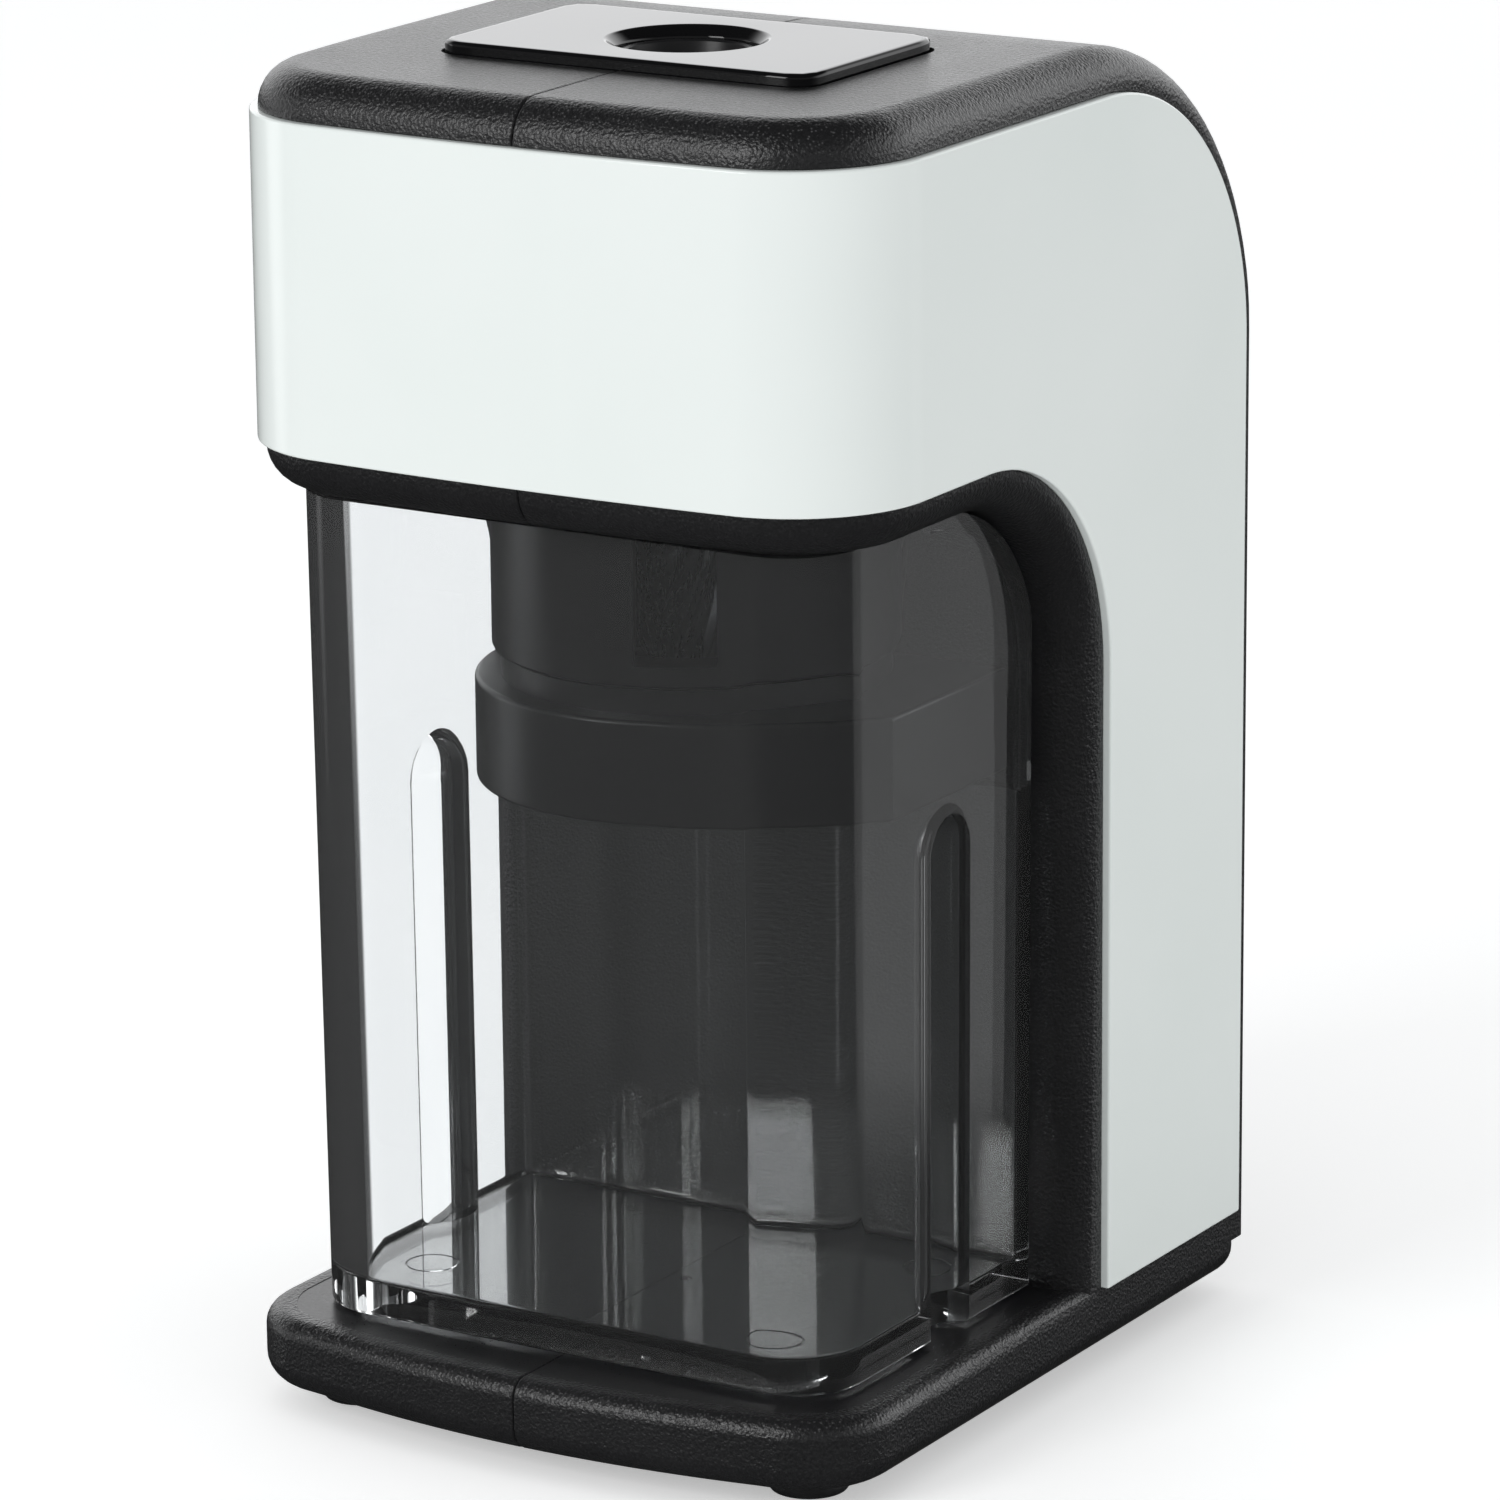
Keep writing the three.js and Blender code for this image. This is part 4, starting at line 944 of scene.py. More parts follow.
def holed(name, outline, z0, z1, hole_r=None, hole_n=48, axis="z"):
    ob = prism(name, outline, z0, z1, axis)
    if hole_r:
        cut(ob, prism("h", circle(0, 0, hole_r, hole_n), z0 - 5, z1 + 5, axis))
    return ob


MECH = Matrix.Translation((0, AXIS_Y, 0))
UX, UY = math.cos(W_AZ), math.sin(W_AZ)
TILT = math.radians(11.5)
LEAN_DIR = Vector((math.sin(TILT) * UX, math.sin(TILT) * UY, math.cos(TILT)))
LEAN_Q = Vector((0, 0, 1)).rotation_difference(LEAN_DIR)
LEAN = Matrix.Translation((9.5 * UX, 9.5 * UY, 104.6)) @ LEAN_Q.to_matrix().to_4x4()
TURN = Matrix.Rotation(W_AZ, 4, "Z")

# ring gear, cutter, its gear and pin
ring = prism("ring", circle(0, 0, 18.9, 120), 102.8, 106.4)
cut(ring, prism("teeth", involute(28, W_AZ, 1.15, 0.8, -0.16), 100, 110))
soften(ring, 0.15, 1, 50)
fit(transform(ring, MECH), "ring_gear")


def cutter_loop(z, k, shrink=1.0):
    teeth, twist, pts = 9, (z + 20.9) / 18.5 * 1.5, []
    for i in range(teeth):
        for f, r in ((0.0, 5.0), (0.05, 4.97), (0.14, 4.86), (0.28, 4.55), (0.44, 4.25), (0.60, 4.08), (0.74, 4.02), (0.86, 4.1), (0.945, 4.45)):
            a = 2 * math.pi * (i + f) / teeth + twist
            rr = min(r, 5.0 * shrink)
            pts.append((rr * math.cos(a), rr * math.sin(a), z))
    return pts


loops = [cutter_loop(-20.9, 0, 0.84), cutter_loop(-20.35, 0, 0.93)]
loops += [cutter_loop(-19.9 + 17.05 * k / 48, 0) for k in range(49)]
loops += [cutter_loop(-2.4, 0, 0.9)]
loops += [ring_loop(2.15, -2.4, 81), ring_loop(1.8, -2.75, 81), ring_loop(1.8, -20.55, 81), ring_loop(2.15, -20.9, 81)]
cutter_ob = loft("helical", loops, cap=False)
fit(transform(cutter_ob, MECH @ LEAN), "helical_cutter", metal("cutter steel", (0.36, 0.37, 0.39), (0.22, 0.34)), angle=28)

out_local = LEAN_Q.inverted() @ Vector((UX, UY, 0))
cg = holed("cg", involute(9, math.atan2(out_local.y, out_local.x), 0.65, 1.1, 0.22), -1.6, 1.6, 1.8)
soften(cg, 0.1, 1, 50)
fit(transform(cg, MECH @ LEAN), "cutter_gear")
pin = lathe("pin", [(0, -23.4), (1.25, -23.4), (1.45, -23.1), (1.45, 3.5), (1.3, 3.6), (1.3, 3.95), (1.45, 4.05), (1.45, 4.2), (1.25, 4.4), (0, 4.4)], 40)
fit(transform(pin, MECH @ LEAN), "cutter_pin")

# carrier
car = lathe("carrier", [(0, 81.2), (12.4, 81.2), (12.9, 81.7), (12.9, 112.8), (12.4, 113.3), (9.4, 113.3), (9.4, 122.3), (9.0, 122.7), (0, 122.7)], 112)


def leaned(ob):
    return transform(ob, LEAN)


cut(car,
    lathe("bore", [(0, 80), (6.2, 80), (4.7, 82.7), (4.7, 121.6), (5.6, 123), (5.6, 125), (0, 125)], 64),
    transform(box("w1", 2.0, 30, -5.6, 5.6, 83.9, 102.7), TURN),
    leaned(prism("w2", circle(0, 0, 5.6, 48), -21.4, -2.1)),
    leaned(prism("w3", circle(0, 0, 5.7, 48), -2.3, 2.2)),
    transform(box("w4", 7, 30, -5.7, 5.7, 102.4, 107.2), TURN),
    leaned(prism("w5", circle(0, 0, 1.6, 32), -24, 4.8)),
    transform(box("w6", -30, -7.5, -5, 5, 84, 99), TURN))
for deg in (50, 90, 130, 230, 270, 310):
    cut(car, transform(prism("pocket", round_rect(-2.2, 2.2, -1.5, 1.5, 1.2, 5), 109, 114), TURN @ Matrix.Rotation(math.radians(deg), 4, "Z") @ Matrix.Translation((0, 11.0, 0)) @ Matrix.Diagonal((1, 0.62, 1, 1))))
tidy(car)
fit(transform(car, MECH), "cutter_carrier", angle=30)

# gear train
IDLER = (8.078, 23.659)
TO_IDLER = math.atan2(IDLER[1], IDLER[0])
TO_MOTOR = math.atan2(37.47 - IDLER[1], -IDLER[0])
gear = holed("carrier_gear", involute(40, TO_IDLER), 118, 122, 9.55, 80)
for z0, z1 in ((117, 118.9), (121.1, 123)):
    web = prism("web", circle(0, 0, 17.4, 96), z0, z1)
    cut(web, prism("hub", circle(0, 0, 11.8, 80), 100, 130))
    cut(gear, web)
for k in range(6):
    a = math.radians(60 * k + 20)
    cut(gear, prism("light", circle(14.6 * math.cos(a), 14.6 * math.sin(a), 1.7, 28), 110, 130))
soften(gear, 0.12, 1, 55)
fit(transform(gear, MECH), "carrier_gear")

small = prism("small", involute(10, TO_IDLER + math.pi + math.pi / 10), 116.9, 122.4)
large = prism("large", involute(24, TO_MOTOR), 113.9, 117.3)
web = prism("web", circle(0, 0, 9.6, 72), 112, 114.6)
cut(web, prism("hub", circle(0, 0, 3.4, 40), 100, 130))
cut(large, web)
add(small, large)
cut(small, prism("bore", circle(0, 0, 1.45, 32), 100, 130))
tidy(small)
soften(small, 0.08, 1, 60)
fit(transform(small, MECH @ Matrix.Translation((IDLER[0], IDLER[1], 0))), "reduction_gear")
axle = lathe("axle", [(0, 110.9), (1.0, 110.9), (1.2, 111.15), (1.2, 123.3), (1.05, 123.4), (1.05, 123.75), (1.2, 123.85), (1.2, 124.2), (0.95, 124.5), (0, 124.5)], 36)
fit(transform(axle, MECH @ Matrix.Translation((IDLER[0], IDLER[1], 0))), "reduction_axle")

# motor
MOT = Matrix.Translation((0, 29, 0))
pinion = holed("pinion", involute(8, TO_MOTOR + math.pi + math.pi / 8, 0.85, 1.1), 113.9, 117.3, 1.05, 32)
soften(pinion, 0.08, 1, 60)
fit(transform(pinion, MOT), "motor_pinion")
shaft = lathe("shaft", [(0, 78), (0.85, 78), (1.0, 78.2), (1.0, 118.1), (0.8, 118.4), (0, 118.4)], 36)
cut(shaft, box("flat", 0.72, 2, -2, 2, 112.0, 119))
fit(transform(shaft, MOT), "motor_shaft")
can = lathe("can", [(1.35, 103.9), (11.5, 103.9), (11.5, 77.2), (11.9, 76.8), (13.55, 76.8), (13.85, 77.1), (13.85, 79.0), (13.65, 79.15), (13.65, 79.6), (13.85, 79.75),
                    (13.85, 106.4), (13.75, 107.2), (13.4, 107.8), (12.6, 108.5), (11.8, 108.8), (4.9, 108.8), (4.7, 109.0), (4.7, 110.0), (4.5, 110.2), (1.35, 110.2)], 112)
for x, y in ((6.3, 4.94), (-6.3, -4.94)):
    cut(can, prism("screw", circle(x, y, 1.3, 28), 102, 112))
for deg in (60, 240):
    cut(can, transform(prism("vent", round_rect(-2.2, 2.2, 0, 6.4, 1.1, 5), 12, 16, "y"), Matrix.Rotation(math.radians(deg), 4, "Z") @ Matrix.Translation((0, 0, 98.6))))
for deg in (0, 120, 240):
    cut(can, transform(box("crimp", -1.1, 1.1, 13.4, 15, 76, 77.9), Matrix.Rotation(math.radians(deg), 4, "Z")))
fit(transform(tidy(can), MOT), "motor_can")
cap = lathe("cap", [(0, 72.2), (3.2, 72.2), (3.5, 72.5), (3.5, 73.4), (12.3, 73.4), (13.2, 73.8), (13.6, 74.6), (13.6, 76.5), (0, 76.5)], 96)
for s in (-1, 1):
    cut(cap, prism("brush", round_rect(s * 6.6 - 1.4, s * 6.6 + 1.4, 3.4, 8.4, 0.9, 4), 70, 74.7), prism("brush2", round_rect(s * 6.6 - 1.4, s * 6.6 + 1.4, -8.4, -3.4, 0.9, 4), 70, 74.7))
cut(cap, prism("pivot", circle(0, 0, 1.1, 28), 71, 73))
tidy(cap)
parts = []
for s in (-1, 1):
    tab = prism("tab", [(-1.5, 74), (-1.5, 71.7), (-1.0, 71.2), (1.0, 71.2), (1.5, 71.7), (1.5, 74)], s * 9.2 - 0.25, s * 9.2 + 0.25, "x")
    cut(tab, transform(prism("eye", circle(0, 0, 0.55, 20), -12, 12), Matrix.Translation((0, 0, 72.3)) @ Matrix.Rotation(math.pi / 2, 4, "Y")))
    parts.append(paint(soften(tab, 0.08, 1), 1))
joined(cap, *parts)
fit(transform(cap, MOT), "motor_end_cap", M["inner_black"], M["nickel"])


def make_screw(name, head_r, head_h, shank_r, length, pitch=0.9):
    """Pan head with a cross recess over a ridged shank and a blunt point."""
    n = 40
    prof = [(0, -length)]
    core = shank_r * 0.78
    prof += [(core * 0.5, -length), (core, -length + 0.5)]
    z = -length + 0.7
    while z + pitch < -0.7:
        prof += [(core, z), (core, z + pitch * 0.3), (shank_r, z + pitch * 0.52), (shank_r, z + pitch * 0.6)]
        z += pitch
    prof += [(core, z), (core, -0.35), (shank_r, -0.25), (shank_r, 0), (head_r * 0.94, 0), (head_r, 0.08 * head_h), (head_r, head_h * 0.42)]
    prof += [(head_r * math.cos(a), head_h * (0.42 + 0.58 * math.sin(a))) for a in [math.radians(d) for d in (18, 36, 54, 72)]] + [(0, head_h)]
    ob = lathe(name, prof, n)
    w, d = head_r * 0.15, head_h * 0.62
    cross = prism("cross", [(-w, w), (-head_r * 0.56, w), (-head_r * 0.56, -w), (-w, -w), (-w, -head_r * 0.56), (w, -head_r * 0.56), (w, -w), (head_r * 0.56, -w), (head_r * 0.56, w), (w, w), (w, head_r * 0.56), (-w, head_r * 0.56)], head_h - d, head_h + 2)
    for v in cross.data.vertices:
        if v.co.z < head_h:
            v.co.x *= 0.72
            v.co.y *= 0.72
    cut(ob, cross)
    return tidy(ob)


motor_screw = make_screw("motor_screw", 2.3, 1.4, 1.1, 7.2, 0.6)
drum_screw = make_screw("drum_screw", 1.8, 1.3, 1.15, 4.4, 0.7)
body_screw = make_screw("body_screw", 2.0, 1.5, 1.2, 21, 1.0)
for i, (x, y) in enumerate(((6.3, 4.94), (-6.3, -4.94))):
    fit(transform(copy_of(motor_screw, "s"), MOT @ Matrix.Translation((x, y, 113.3))), "motor_screw_%d" % (i + 1))
for i, deg in enumerate((35, 145, 270)):
    a = math.radians(deg)
    fit(transform(copy_of(drum_screw, "s"), Matrix.Translation((23.4 * math.cos(a), AXIS_Y + 23.4 * math.sin(a), 108.1)) @ Matrix.Rotation(math.pi, 4, "X")), "drum_screw_%d" % (i + 1))
for i, (y, z) in enumerate(((-36.6, 130), (36, 130), (18, 40), (18, 66))):
    fit(transform(copy_of(body_screw, "s"), Matrix.Translation((8.8, y, z)) @ Matrix.Rotation(math.pi / 2, 4, "Y")), "body_screw_%d" % (i + 1))
for ob in (motor_screw, drum_screw, body_screw):
    bpy.data.objects.remove(ob)

# gearbox plate and cover
plate = prism("gearbox", round_rect(-29, 29, -35, 41, 4, 8), 110.7, 113.0)
cut(plate, prism("a", circle(0, AXIS_Y, 13.5, 80), 105, 116), prism("b", circle(0, 29, 5.1, 48), 105, 116),
    prism("c", circle(IDLER[0], AXIS_Y + IDLER[1], 1.3, 28), 105, 116),
    *[prism("d", circle(x, 29 + y, 1.3, 28), 105, 116) for x, y in ((6.3, 4.94), (-6.3, -4.94))],
    *[prism("e", circle(23.4 * math.cos(math.radians(d)), AXIS_Y + 23.4 * math.sin(math.radians(d)), 1.3, 28), 105, 116) for d in (35, 145, 270)],
    prism("f", round_rect(-23, -15, 17, 33, 3, 6), 105, 116), prism("g", round_rect(17, 24, 19, 34, 3, 6), 105, 116))
soften(plate, 0.25, 2, 60)
fit(tidy(plate), "gearbox_plate")
cover = prism("gear_cover", round_rect(-27, 27, -32, 39, 4, 8), 113.1, 126.2)
bevel(cover, 1.2, 4, lambda e, a, b: abs(a.z - 126.2) < 1e-3 and abs(b.z - 126.2) < 1e-3, clamp=False)
cut(cover, prism("in", round_rect(-25.6, 25.6, -30.6, 37.6, 3, 8), 100, 124.9), prism("hole", circle(0, AXIS_Y, 7.6, 64), 120, 130))
step = lathe("rim", [(9.2, 124.5), (9.2, 127), (10.4, 127), (10.4, 124.5)], 72, (0, AXIS_Y, 0))
groove = prism("groove", round_rect(-24, 24, -29, 36, 2.4, 6), 125.75, 128)
cut(groove, prism("groove_in", round_rect(-23.2, 23.2, -28.2, 35.2, 2.0, 6), 120, 130))
cut(cover, groove)
bpy.data.objects.remove(step)
fit(tidy(cover), "gear_cover")

# pencil switch, its lever and pin
AX = Matrix.Translation((0, AXIS_Y, 0))
sw = prism("switch", round_rect(11.9, 18.6, -6.4, 6.4, 0.5, 3), 127.4, 137.6)
soften(sw, 0.3, 2, 60)
for z in (131.2,):
    cut(sw, transform(prism("seam", round_rect(10, 20, -8, 8, 0.3, 2), 0, 0.25), Matrix.Translation((0, 0, z))) if False else box("seam_a", 11.0, 12.05, -8, 8, z, z + 0.25),
        box("seam_b", 18.45, 19.5, -8, 8, z, z + 0.25), box("seam_c", 11, 19.5, -7, -6.25, z, z + 0.25), box("seam_d", 11, 19.5, 6.25, 7, z, z + 0.25))
for s in (-1, 1):
    ear = prism("ear", [(18.0, 136.9), (18.0, 139.6), (12.4, 142.1), (11.2, 142.4), (8.9, 142.4), (8.1, 141.6), (8.1, 138.4), (9.4, 136.9)], s * 1.6, s * 3.0, "y")
    cut(ear, transform(prism("eye", circle(0, 0, 0.62, 24), -9, 9), Matrix.Translation((9.3, 0, 140.2)) @ Matrix.Rotation(math.pi / 2, 4, "X")))
    add(sw, ear)
    cut(sw, prism("hole", circle(15.2, s * 4.7, 0.9, 24), 136.2, 140))
tidy(sw)
tabs = []
for k in (-1, 0, 1):
    tab = prism("tab", round_rect(18.4, 22.0, k * 4.0 - 0.9, k * 4.0 + 0.9, 0.35, 3), 129.6, 130.1)
    cut(tab, prism("eye", circle(20.7, k * 4.0, 0.45, 18), 128, 132))
    tabs.append(paint(tab, 1))
joined(sw, *tabs)
fit(transform(sw, AX), "pencil_switch", M["inner_black"], M["nickel"])
lev = prism("lever", [(7.4, 138.9), (10.7, 138.9), (11.0, 140.6), (9.9, 141.9), (8.4, 141.9), (7.4, 141.0)], -1.2, 1.2, "y")
add(lev, prism("arm", [(7.6, 139.4), (5.9, 137.0), (4.3, 134.2), (3.4, 132.4), (3.3, 131.6), (3.4, 130.8), (4.1, 129.6), (5.0, 128.5), (5.9, 127.8), (6.6, 127.6), (7.0, 127.8), (7.25, 129.2), (7.4, 131), (7.5, 136.6), (9.3, 139.4)], -1.2, 1.2, "y"))
cut(lev, transform(prism("eye", circle(0, 0, 0.62, 28), -9, 9), Matrix.Translation((9.3, 0, 140.2)) @ Matrix.Rotation(math.pi / 2, 4, "X")))
soften(tidy(lev), 0.2, 2, 35)
fit(transform(lev, AX), "pencil_switch_lever")
pin = transform(lathe("lever_pin", [(0, -2.8), (0.4, -2.8), (0.55, -2.65), (0.55, 2.65), (0.4, 2.8), (0, 2.8)], 28), Matrix.Translation((9.3, AXIS_Y, 140.2)) @ Matrix.Rotation(math.pi / 2, 4, "X"))
fit(pin, "lever_pin")

# bin switch and plunger
bs = box("bin_switch", 22.9, 26.9, -5.9, 6.9, 73.3, 79.1)
soften(bs, 0.25, 2, 60)
cut(bs, box("s1", 22.5, 23.02, -8, 8, 76.0, 76.2), box("s2", 26.78, 27.5, -8, 8, 76.0, 76.2), box("s3", 22, 28, -6.5, -5.78, 76.0, 76.2), box("s4", 22, 28, 6.78, 7.5, 76.0, 76.2))
for y in (-3.4, 4.4):
    cut(bs, transform(prism("mount", circle(0, 0, 0.9, 24), 21, 28), Matrix.Translation((0, y, 74.9)) @ Matrix.Rotation(math.pi / 2, 4, "Y")))
fit(tidy(bs), "bin_switch")
fit(lathe("plunger", [(0, 68.5), (0.3, 68.53), (0.55, 68.68), (0.75, 68.95), (0.8, 69.2), (0.8, 71.6), (1.2, 71.6), (1.3, 71.7), (1.3, 71.82), (1.2, 71.9), (0, 71.9)], 36, (24.9, 6.1, 0)), "bin_switch_plunger")

# circuit board
pcb = prism("pcb", [(-22, 44.6), (-21.4, 44), (21.4, 44), (22, 44.6), (22, 69.4), (21.4, 70), (-21.4, 70), (-22, 69.4)], 25.0, 26.6, "y")
for x, z in ((-19.6, 46.4), (19.6, 67.6), (-19.6, 67.6)):
    cut(pcb, transform(prism("mount", circle(0, 0, 1.4, 28), -30, 30), Matrix.Translation((x, 0, z)) @ Matrix.Rotation(math.pi / 2, 4, "X")))
pieces = [paint(pcb, 0)]
DOWN = Matrix.Rotation(math.pi / 2, 4, "X")     # local z runs toward the front
capacitor = lathe("capacitor", [(0, 0), (3.7, 0), (3.95, 0.3), (3.95, 0.9), (3.75, 1.1), (3.95, 1.3), (3.95, 4.0), (3.7, 4.3), (3.4, 4.25), (3.3, 4.15), (0, 4.15)], 48)
pieces.append(paint(transform(capacitor, Matrix.Translation((-14, 25.0, 51.5)) @ DOWN), 3))
chip = box("chip", 3.4, 10.6, 22.7, 24.6, 48, 60)
pieces.append(paint(soften(chip, 0.2, 1, 60), 1))
for k in range(8):
    z = 49.1 + 1.4 * k
    for s in (-1, 1):
        x = 7.0 + s * 3.4
        leg = prism("leg", [(x, 24.3), (x + s * 1.3, 24.3), (x + s * 1.6, 24.6), (x + s * 1.6, 25.05), (x + s * 1.2, 25.05), (x + s * 1.2, 24.6), (x, 24.6)], z, z + 0.55)
        pieces.append(paint(leg, 2))
con = box("connector", 15, 19, 21.6, 25.05, 46, 52)
cut(con, box("slot", 15.6, 18.4, 20, 24.2, 46.6, 51.4))
pieces.append(paint(soften(con, 0.12, 1, 60), 4))
for z in (47.6, 49.0, 50.4):
    pieces.append(paint(box("contact", 16.7, 17.3, 22.2, 24.4, z - 0.3, z + 0.3), 2))
for x, z in ((-6.5, 50), (-6.5, 53), (-6.5, 56), (-3.2, 50), (-3.2, 53), (-12, 61), (-8.6, 61), (15.5, 57), (15.5, 60), (-16, 64)):
    pieces.append(paint(soften(box("resistor", x - 0.5, x + 0.5, 24.5, 25.05, z - 0.62, z + 0.62), 0.06, 1), 1))
    for s in (-1, 1):
        pieces.append(paint(soften(box("end", x - 0.52, x + 0.52, 24.46, 25.05, z + s * 0.8 - 0.22, z + s * 0.8 + 0.22), 0.06, 1), 2))
led = lathe("transistor", [(0, 0), (2.1, 0), (2.1, 2.0), (1.9, 2.3), (0, 2.3)], 32)
cut(led, box("flat", 1.2, 4, -4, 4, -1, 4))
pieces.append(paint(transform(led, Matrix.Translation((-14, 25.0, 66.0)) @ DOWN), 1))
joined(*pieces)
fit(pcb, "circuit_board", M["board_green"], CHIP, M["nickel"], SLEEVE, M["white_acetal"])

# batteries, springs, contact strips
CELL_X, CELL_Y = (-22.35, -7.45, 7.45, 22.35), 36.1
for i, x in enumerate(CELL_X):
    flip = i % 2 == 1
    place = Matrix.Translation((x, CELL_Y, 65.0)) @ Matrix.Rotation(math.pi, 4, "X") if flip else Matrix.Translation((x, CELL_Y, 18.0))
    cell = lathe("cell", [(0, 0.25), (4.6, 0.25), (4.9, 0.05), (5.2, 0.0), (6.35, 0.0), (6.55, 0.12), (6.85, 0.25), (7.0, 0.45), (7.08, 0.8), (7.08, 37.6), (7.1, 37.65), (7.1, 47.9), (7.0, 48.35), (6.75, 48.65),
                          (6.5, 48.75), (6.1, 48.7), (5.6, 48.45), (3.3, 48.45), (2.95, 48.6), (2.75, 48.9), (2.72, 49.6), (2.6, 49.95), (2.3, 50.1), (0, 50.1)], 72)
    for p in cell.data.polygons:
        r, z = math.hypot(p.center.x, p.center.y), p.center.z
        p.material_index = 1 if (r < 6.4 and (z < 1 or z > 48)) else (2 if z > 37.6 else 0)
    fit(transform(cell, place), "battery_cell_%d" % (i + 1), M["cell_jacket"], M["nickel"], BAND)

    turns, wire, n_ring, per = 4.6, 0.24, 10, 28
    path = []
    total = int(turns * per)
    for k in range(total + 1):
        t = k / total
        a = 2 * math.pi * turns * t
        rise = 0.0 if t < 0.18 else (t - 0.18) / (0.86 - 0.18) if t < 0.86 else 1.0
        r = 3.36 - 1.2 * rise
        path.append(Vector((r * math.cos(a), r * math.sin(a), wire + (2.9 - 2 * wire) * rise)))
    loops = []
    for k, p in enumerate(path):
        d = (path[min(k + 1, total)] - path[max(k - 1, 0)]).normalized()
        side = d.cross(Vector((0, 0, 1))).normalized()
        upv = side.cross(d)
        loops.append([tuple(p + side * wire * math.cos(2 * math.pi * j / n_ring) + upv * wire * math.sin(2 * math.pi * j / n_ring)) for j in range(n_ring)])
    coil = loft("coil", loops, cap=True)
    place = Matrix.Translation((x, CELL_Y, 68.2)) @ Matrix.Rotation(math.pi, 4, "X") if flip else Matrix.Translation((x, CELL_Y, 14.8))
    fit(transform(coil, place), "battery_spring_%d" % (i + 1), angle=60)

for node, z0, pairs in (("contact_strip_lower", 13.9, ((-22.35, -7.45), (7.45, 22.35))), ("contact_strip_upper", 68.5, ((-22.35, -22.35), (-7.45, 7.45), (22.35, 22.35)))):
    up = node.endswith("lower")
    strip = prism("strip", round_rect(-29.4, 29.4, 30.5, 41.5, 1.2, 5), z0, z0 + 0.6)
    for k, x in enumerate(CELL_X):
        has_nub = (k % 2 == 1) if up else (k % 2 == 0)
        ringed = lathe("ring", [(4.1, z0 + (0.35 if up else 0.25)), (4.7, z0 + (0.35 if up else 0.25)), (4.7, z0 + (1 if up else -1)), (4.1, z0 + (1 if up else -1))], 48, (x, 36.1, 0))
        cut(strip, ringed)
    for x in (-14.9, 0, 14.9):
        for y in (31.6, 40.4):
            cut(strip, prism("slot", round_rect(x - 0.9, x + 0.9, y - 0.5, y + 0.5, 0.4, 4), z0 - 1, z0 + 2))
    soften(strip, 0.1, 1, 60)
    fit(tidy(strip), node)

# battery tray with cradles between the cells
tray = prism("tray", [(-31.2, 12.4), (31.2, 12.4), (31.2, 70.6), (-31.2, 70.6)], 27.1, 44.3, "y")
bevel(tray, 0.6, 3, lambda e, a, b: abs(a.y - 27.1) < 1e-3 and abs(b.y - 27.1) < 1e-3, clamp=False)
hollow = prism("in", round_rect(-30, 30, 13.6, 69.4, 0.8, 4), 28.5, 50, "y")
cut(tray, hollow)
cradle = box("cradle", -30.2, 30.2, 28.3, 33.2, 22.0, 26.5)
c2 = box("cradle2", -30.2, 30.2, 28.3, 33.2, 56.5, 61.0)
for c in (cradle, c2):
    cut(c, *[prism("bed", circle(x, 36.1, 7.35, 72), 15, 75) for x in CELL_X])
    soften(c, 0.15, 1, 60)
    add(tray, c)
cut(tray, box("wire_a", -4, 4, 27, 29, 15.4, 18.0), box("wire_b", 24, 28, 27, 29, 64.5, 67.5))
soften(tidy(tray), 0.15, 1, 70)
fit(tidy(tray), "battery_tray")

# battery door
door = prism("door", round_rect(-31.2, 31.2, 12.6, 70.4, 0.8, 4), 44.75, BACK_Y, "y")
bevel(door, 0.45, 3, lambda e, a, b: abs(a.y - BACK_Y) < 1e-3 and abs(b.y - BACK_Y) < 1e-3, clamp=False)
grip = prism("grip", round_rect(-9.0, 9.0, 59.8, 67.8, 3.4, 8), 45.9, 50, "y")
cut(door, grip)
for i in range(4):
    z = 61.4 + 1.6 * i
    bar = prism("bar", [(-6.6, z), (6.6, z), (6.6, z + 0.7), (-6.6, z + 0.7)], 45.6, 46.6, "y")
    soften(bar, 0.22, 2, 60)
    add(door, bar)
for x in (-14.9, 0.0, 14.9):
    rib = box("rib", x - 0.45, x + 0.45, 43.9, 45.0, 20, 63)
    soften(rib, 0.15, 1, 60)
    add(door, rib)
for z in (30.0, 52.0):
    rib = box("rib", -28.5, 28.5, 44.35, 45.0, z, z + 0.9)
    soften(rib, 0.12, 1, 60)
    add(door, rib)
fit(tidy(door), "battery_door")

# -------------------------------------------------------------------- feet
for tag, s, y in (("front_left", -1, -33.3), ("front_right", 1, -33.3), ("rear_left", -1, 36), ("rear_right", 1, 36)):
    f = lathe("foot_" + tag + "_visual", [(0, 0.25), (2.6, 0.25), (2.9, 0.02), (3.8, 0.0), (4.15, 0.12), (4.35, 0.4), (4.4, 0.9), (4.25, 1.35), (4.22, 1.5), (4.5, 1.65), (4.5, 3.0), (4.3, 3.2), (0, 3.2)], 64, (s * 28.7, y, 0))
    use(f, "housing", "foot_rubber", M["foot_rubber"], "foot_" + tag)

# ------------------------------------------------------------------- stage
floor = new_object("floor", [(-4, -4, -0.0002), (4, -4, -0.0002), (4, 4, -0.0002), (-4, 4, -0.0002)], [(0, 1, 2, 3)])
ft = Tree("floor").set(Specular_IOR_Level=0.1, Emission_Color=(1.0, 1.0, 1.0, 1.0), Emission_Strength=0.42)
ft.put("Base Color", ft.ramp(ft.noise(3, 2), [(0.3, (0.88, 0.885, 0.885)), (0.7, (0.9, 0.903, 0.903))]))
ft.put("Roughness", ft.span(ft.noise(5, 2), 0.3, 0.7, 0.7, 0.8))
floor.data.materials.append(ft.m)

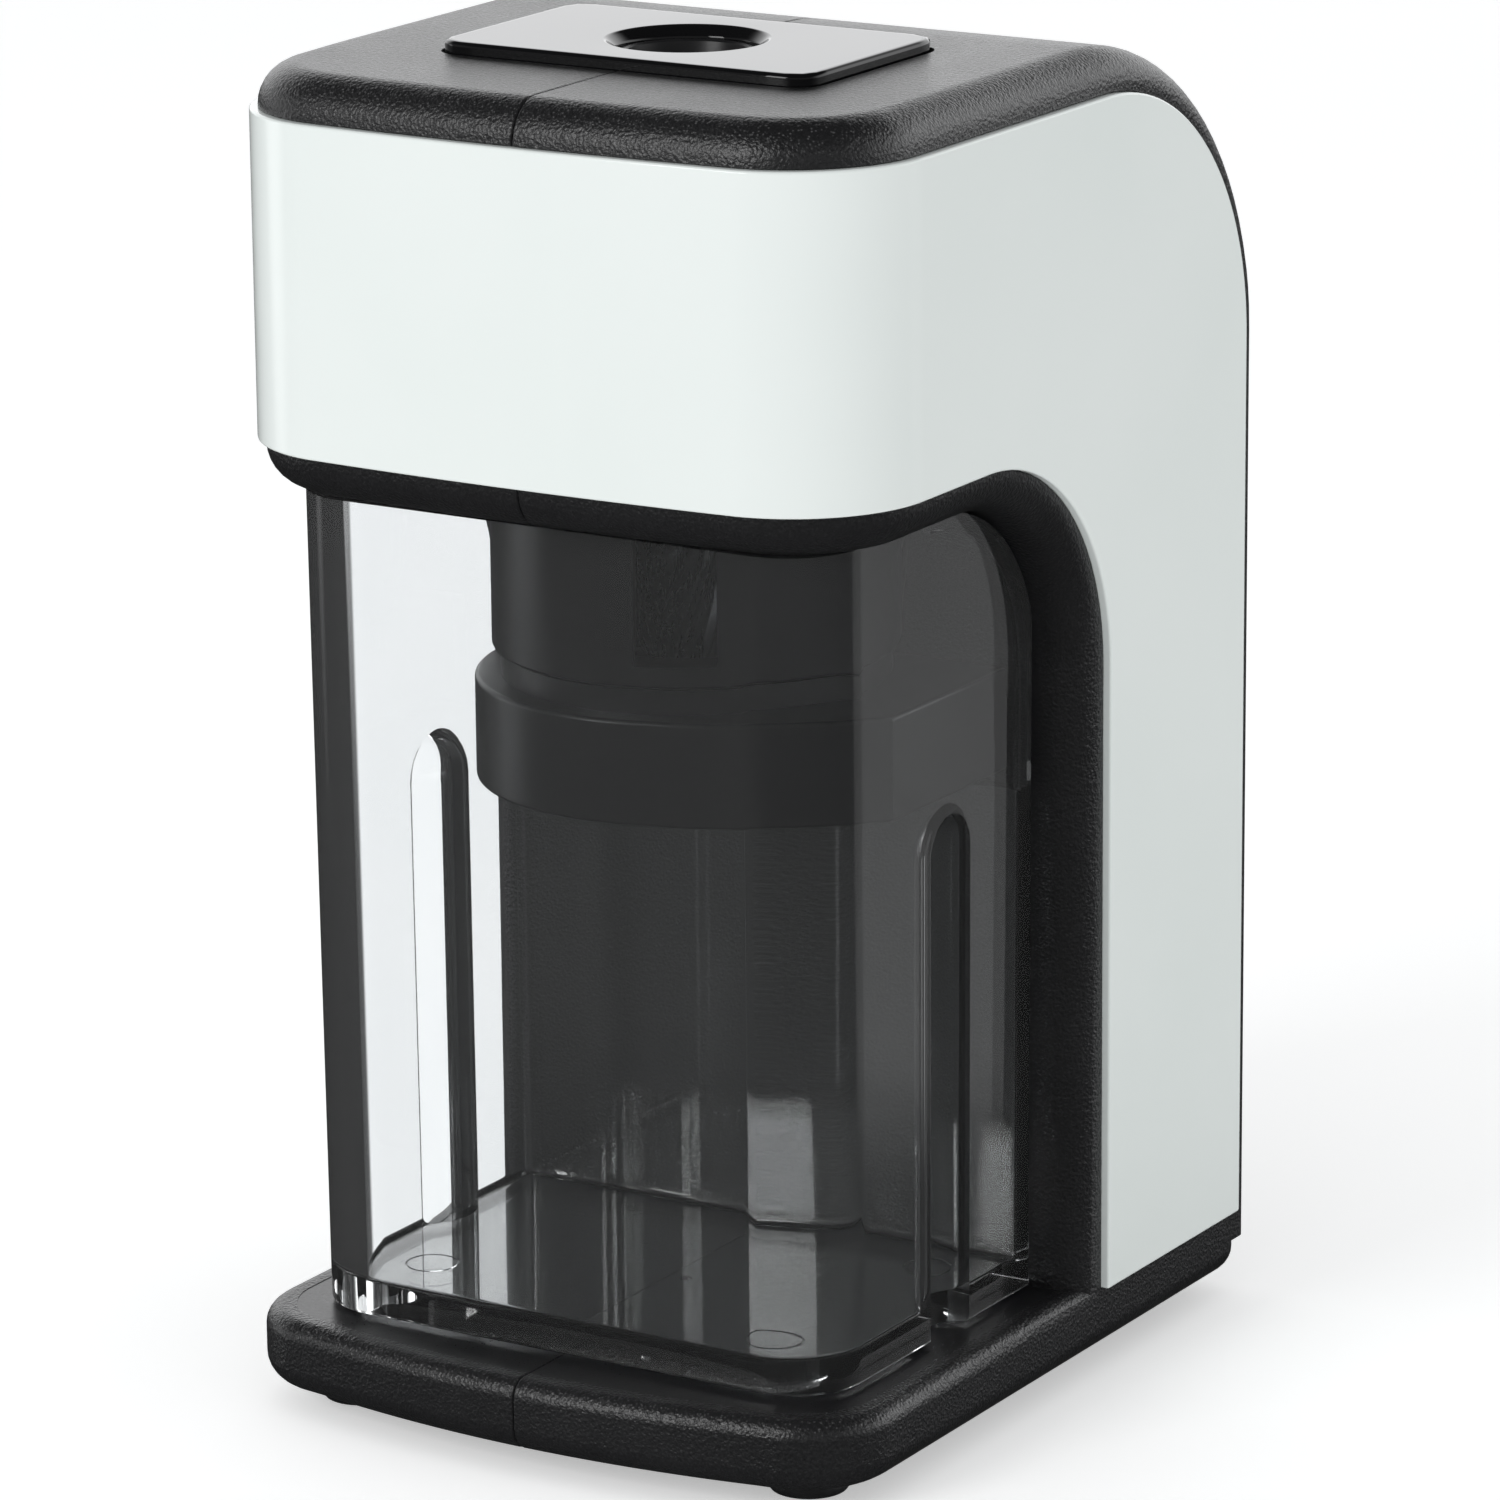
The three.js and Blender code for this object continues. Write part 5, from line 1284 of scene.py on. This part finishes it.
world = bpy.data.worlds.new("studio")
scene.world = world
world.use_nodes = True
world.cycles.sampling_method = "NONE"
wt = world.node_tree
bg = wt.nodes["Background"]
bg.inputs["Color"].default_value = (0.985, 0.992, 1.0, 1)


def wnode(kind, *ins, op=None):
    n = wt.nodes.new(kind)
    if op:
        n.operation = op
    for i, v in enumerate(ins):
        if isinstance(v, (int, float)):
            n.inputs[i].default_value = v
        elif v is not None:
            wt.links.new(v, n.inputs[i])
    return n


def wmath(op, a, b):
    return wnode("ShaderNodeMath", a, b, op=op).outputs[0]


def wspan(v, lo, hi, a, b):
    n = wt.nodes.new("ShaderNodeMapRange")
    n.interpolation_type = "SMOOTHSTEP"
    wt.links.new(v, n.inputs["Value"])
    for k, x in (("From Min", lo), ("From Max", hi), ("To Min", a), ("To Max", b)):
        n.inputs[k].default_value = x
    return n.outputs["Result"]


direction = wnode("ShaderNodeSeparateXYZ", wt.nodes.new("ShaderNodeTexCoord").outputs["Generated"])
dx, dy, dz = direction.outputs
path = wt.nodes.new("ShaderNodeLightPath")
# a bright band round the horizon, brightest behind, over a dark room
band = wmath("MULTIPLY", wspan(dz, -0.06, 0.03, 0, 1), wspan(dz, 0.36, 0.6, 1, 0))
gloss = wmath("ADD", 0.025, wmath("MULTIPLY", band, wmath("ADD", 0.22, wspan(dy, -0.1, 0.7, 0, 1.5))))
# a tall strip light to the left
strip = wspan(wmath("ADD", wmath("MULTIPLY", dx, -0.98), wmath("MULTIPLY", dy, -0.197)), 0.955, 0.985, 0, 1.1)
strip = wmath("MULTIPLY", strip, wspan(wnode("ShaderNodeMath", dz, op="ABSOLUTE").outputs[0], 0.3, 0.42, 1, 0))
# low panels that the front and the right side of the bin mirror
side_dot = wmath("ADD", wmath("MULTIPLY", dx, 0.52), wmath("MULTIPLY", dy, 0.854))
front_dot = wmath("ADD", wmath("MULTIPLY", dx, -0.52), wmath("MULTIPLY", dy, -0.854))
low = wmath("MULTIPLY", wspan(dz, -0.325, -0.305, 0, 1), wspan(dz, -0.2, -0.12, 1, 0))
ratio = wmath("DIVIDE", dx, dy)
tall = wmath("MULTIPLY", wspan(ratio, 0.5975, 0.5985, 0, 1), wspan(ratio, 0.6085, 0.6095, 1, 0))
panels = wmath("ADD", wmath("MULTIPLY", wspan(side_dot, 0.93, 0.945, 0, 1), 0.26),
               wmath("MULTIPLY", wspan(front_dot, 0.93, 0.945, 0, 1), wmath("ADD", 0.06, wmath("MULTIPLY", tall, 0.4))))
panels = wmath("MULTIPLY", panels, low)
inside = wmath("ADD", wmath("MULTIPLY", gloss, 0.2), wmath("MULTIPLY", strip, 1.5))
gloss = wmath("ADD", wmath("ADD", gloss, strip), panels)
# the backdrop seen through clear parts: white behind the object, dark beside it
ahead = wmath("ADD", wmath("ADD", wmath("MULTIPLY", dx, -0.52), wmath("MULTIPLY", dy, 0.853)), 0.0)
through = wspan(ahead, 0.72, 0.88, 0.1, 1.27)
# a ray that has been reflected once sees the dark room, whatever it passes through next
direct = wmath("LESS_THAN", path.outputs["Glossy Depth"], 0.5)
mirrored = wmath("SUBTRACT", 1.0, direct)
beyond = wmath("ADD", wmath("MULTIPLY", direct, through), wmath("MULTIPLY", mirrored, inside))
value = wmath("ADD", wmath("MULTIPLY", path.outputs["Is Glossy Ray"], gloss),
              wmath("MULTIPLY", path.outputs["Is Transmission Ray"], beyond))
value = wmath("ADD", value, wmath("MULTIPLY", path.outputs["Is Diffuse Ray"], 0.62))
value = wmath("ADD", value, path.outputs["Is Camera Ray"])
wt.links.new(value, bg.inputs["Strength"])
floor.visible_glossy = False
floor.visible_transmission = False


def softbox(name, at, toward, size, power, size_y=None):
    d = bpy.data.lights.new(name, "AREA")
    d.energy = power
    d.size = size
    if size_y:
        d.shape, d.size_y = "RECTANGLE", size_y
    o = bpy.data.objects.new(name, d)
    scene.collection.objects.link(o)
    o.location = at
    o.rotation_mode = "QUATERNION"
    o.rotation_quaternion = (Vector(toward) - Vector(at)).to_track_quat("-Z", "Y")
    o.visible_camera = False
    return o


softbox("key", (-0.32, -1.04, 0.60), (0, 0, 0.07), 0.48, 4.25)
softbox("fill", (0.9, 0.1, 0.18), (0, 0, 0.05), 0.5, 0.72).visible_glossy = False
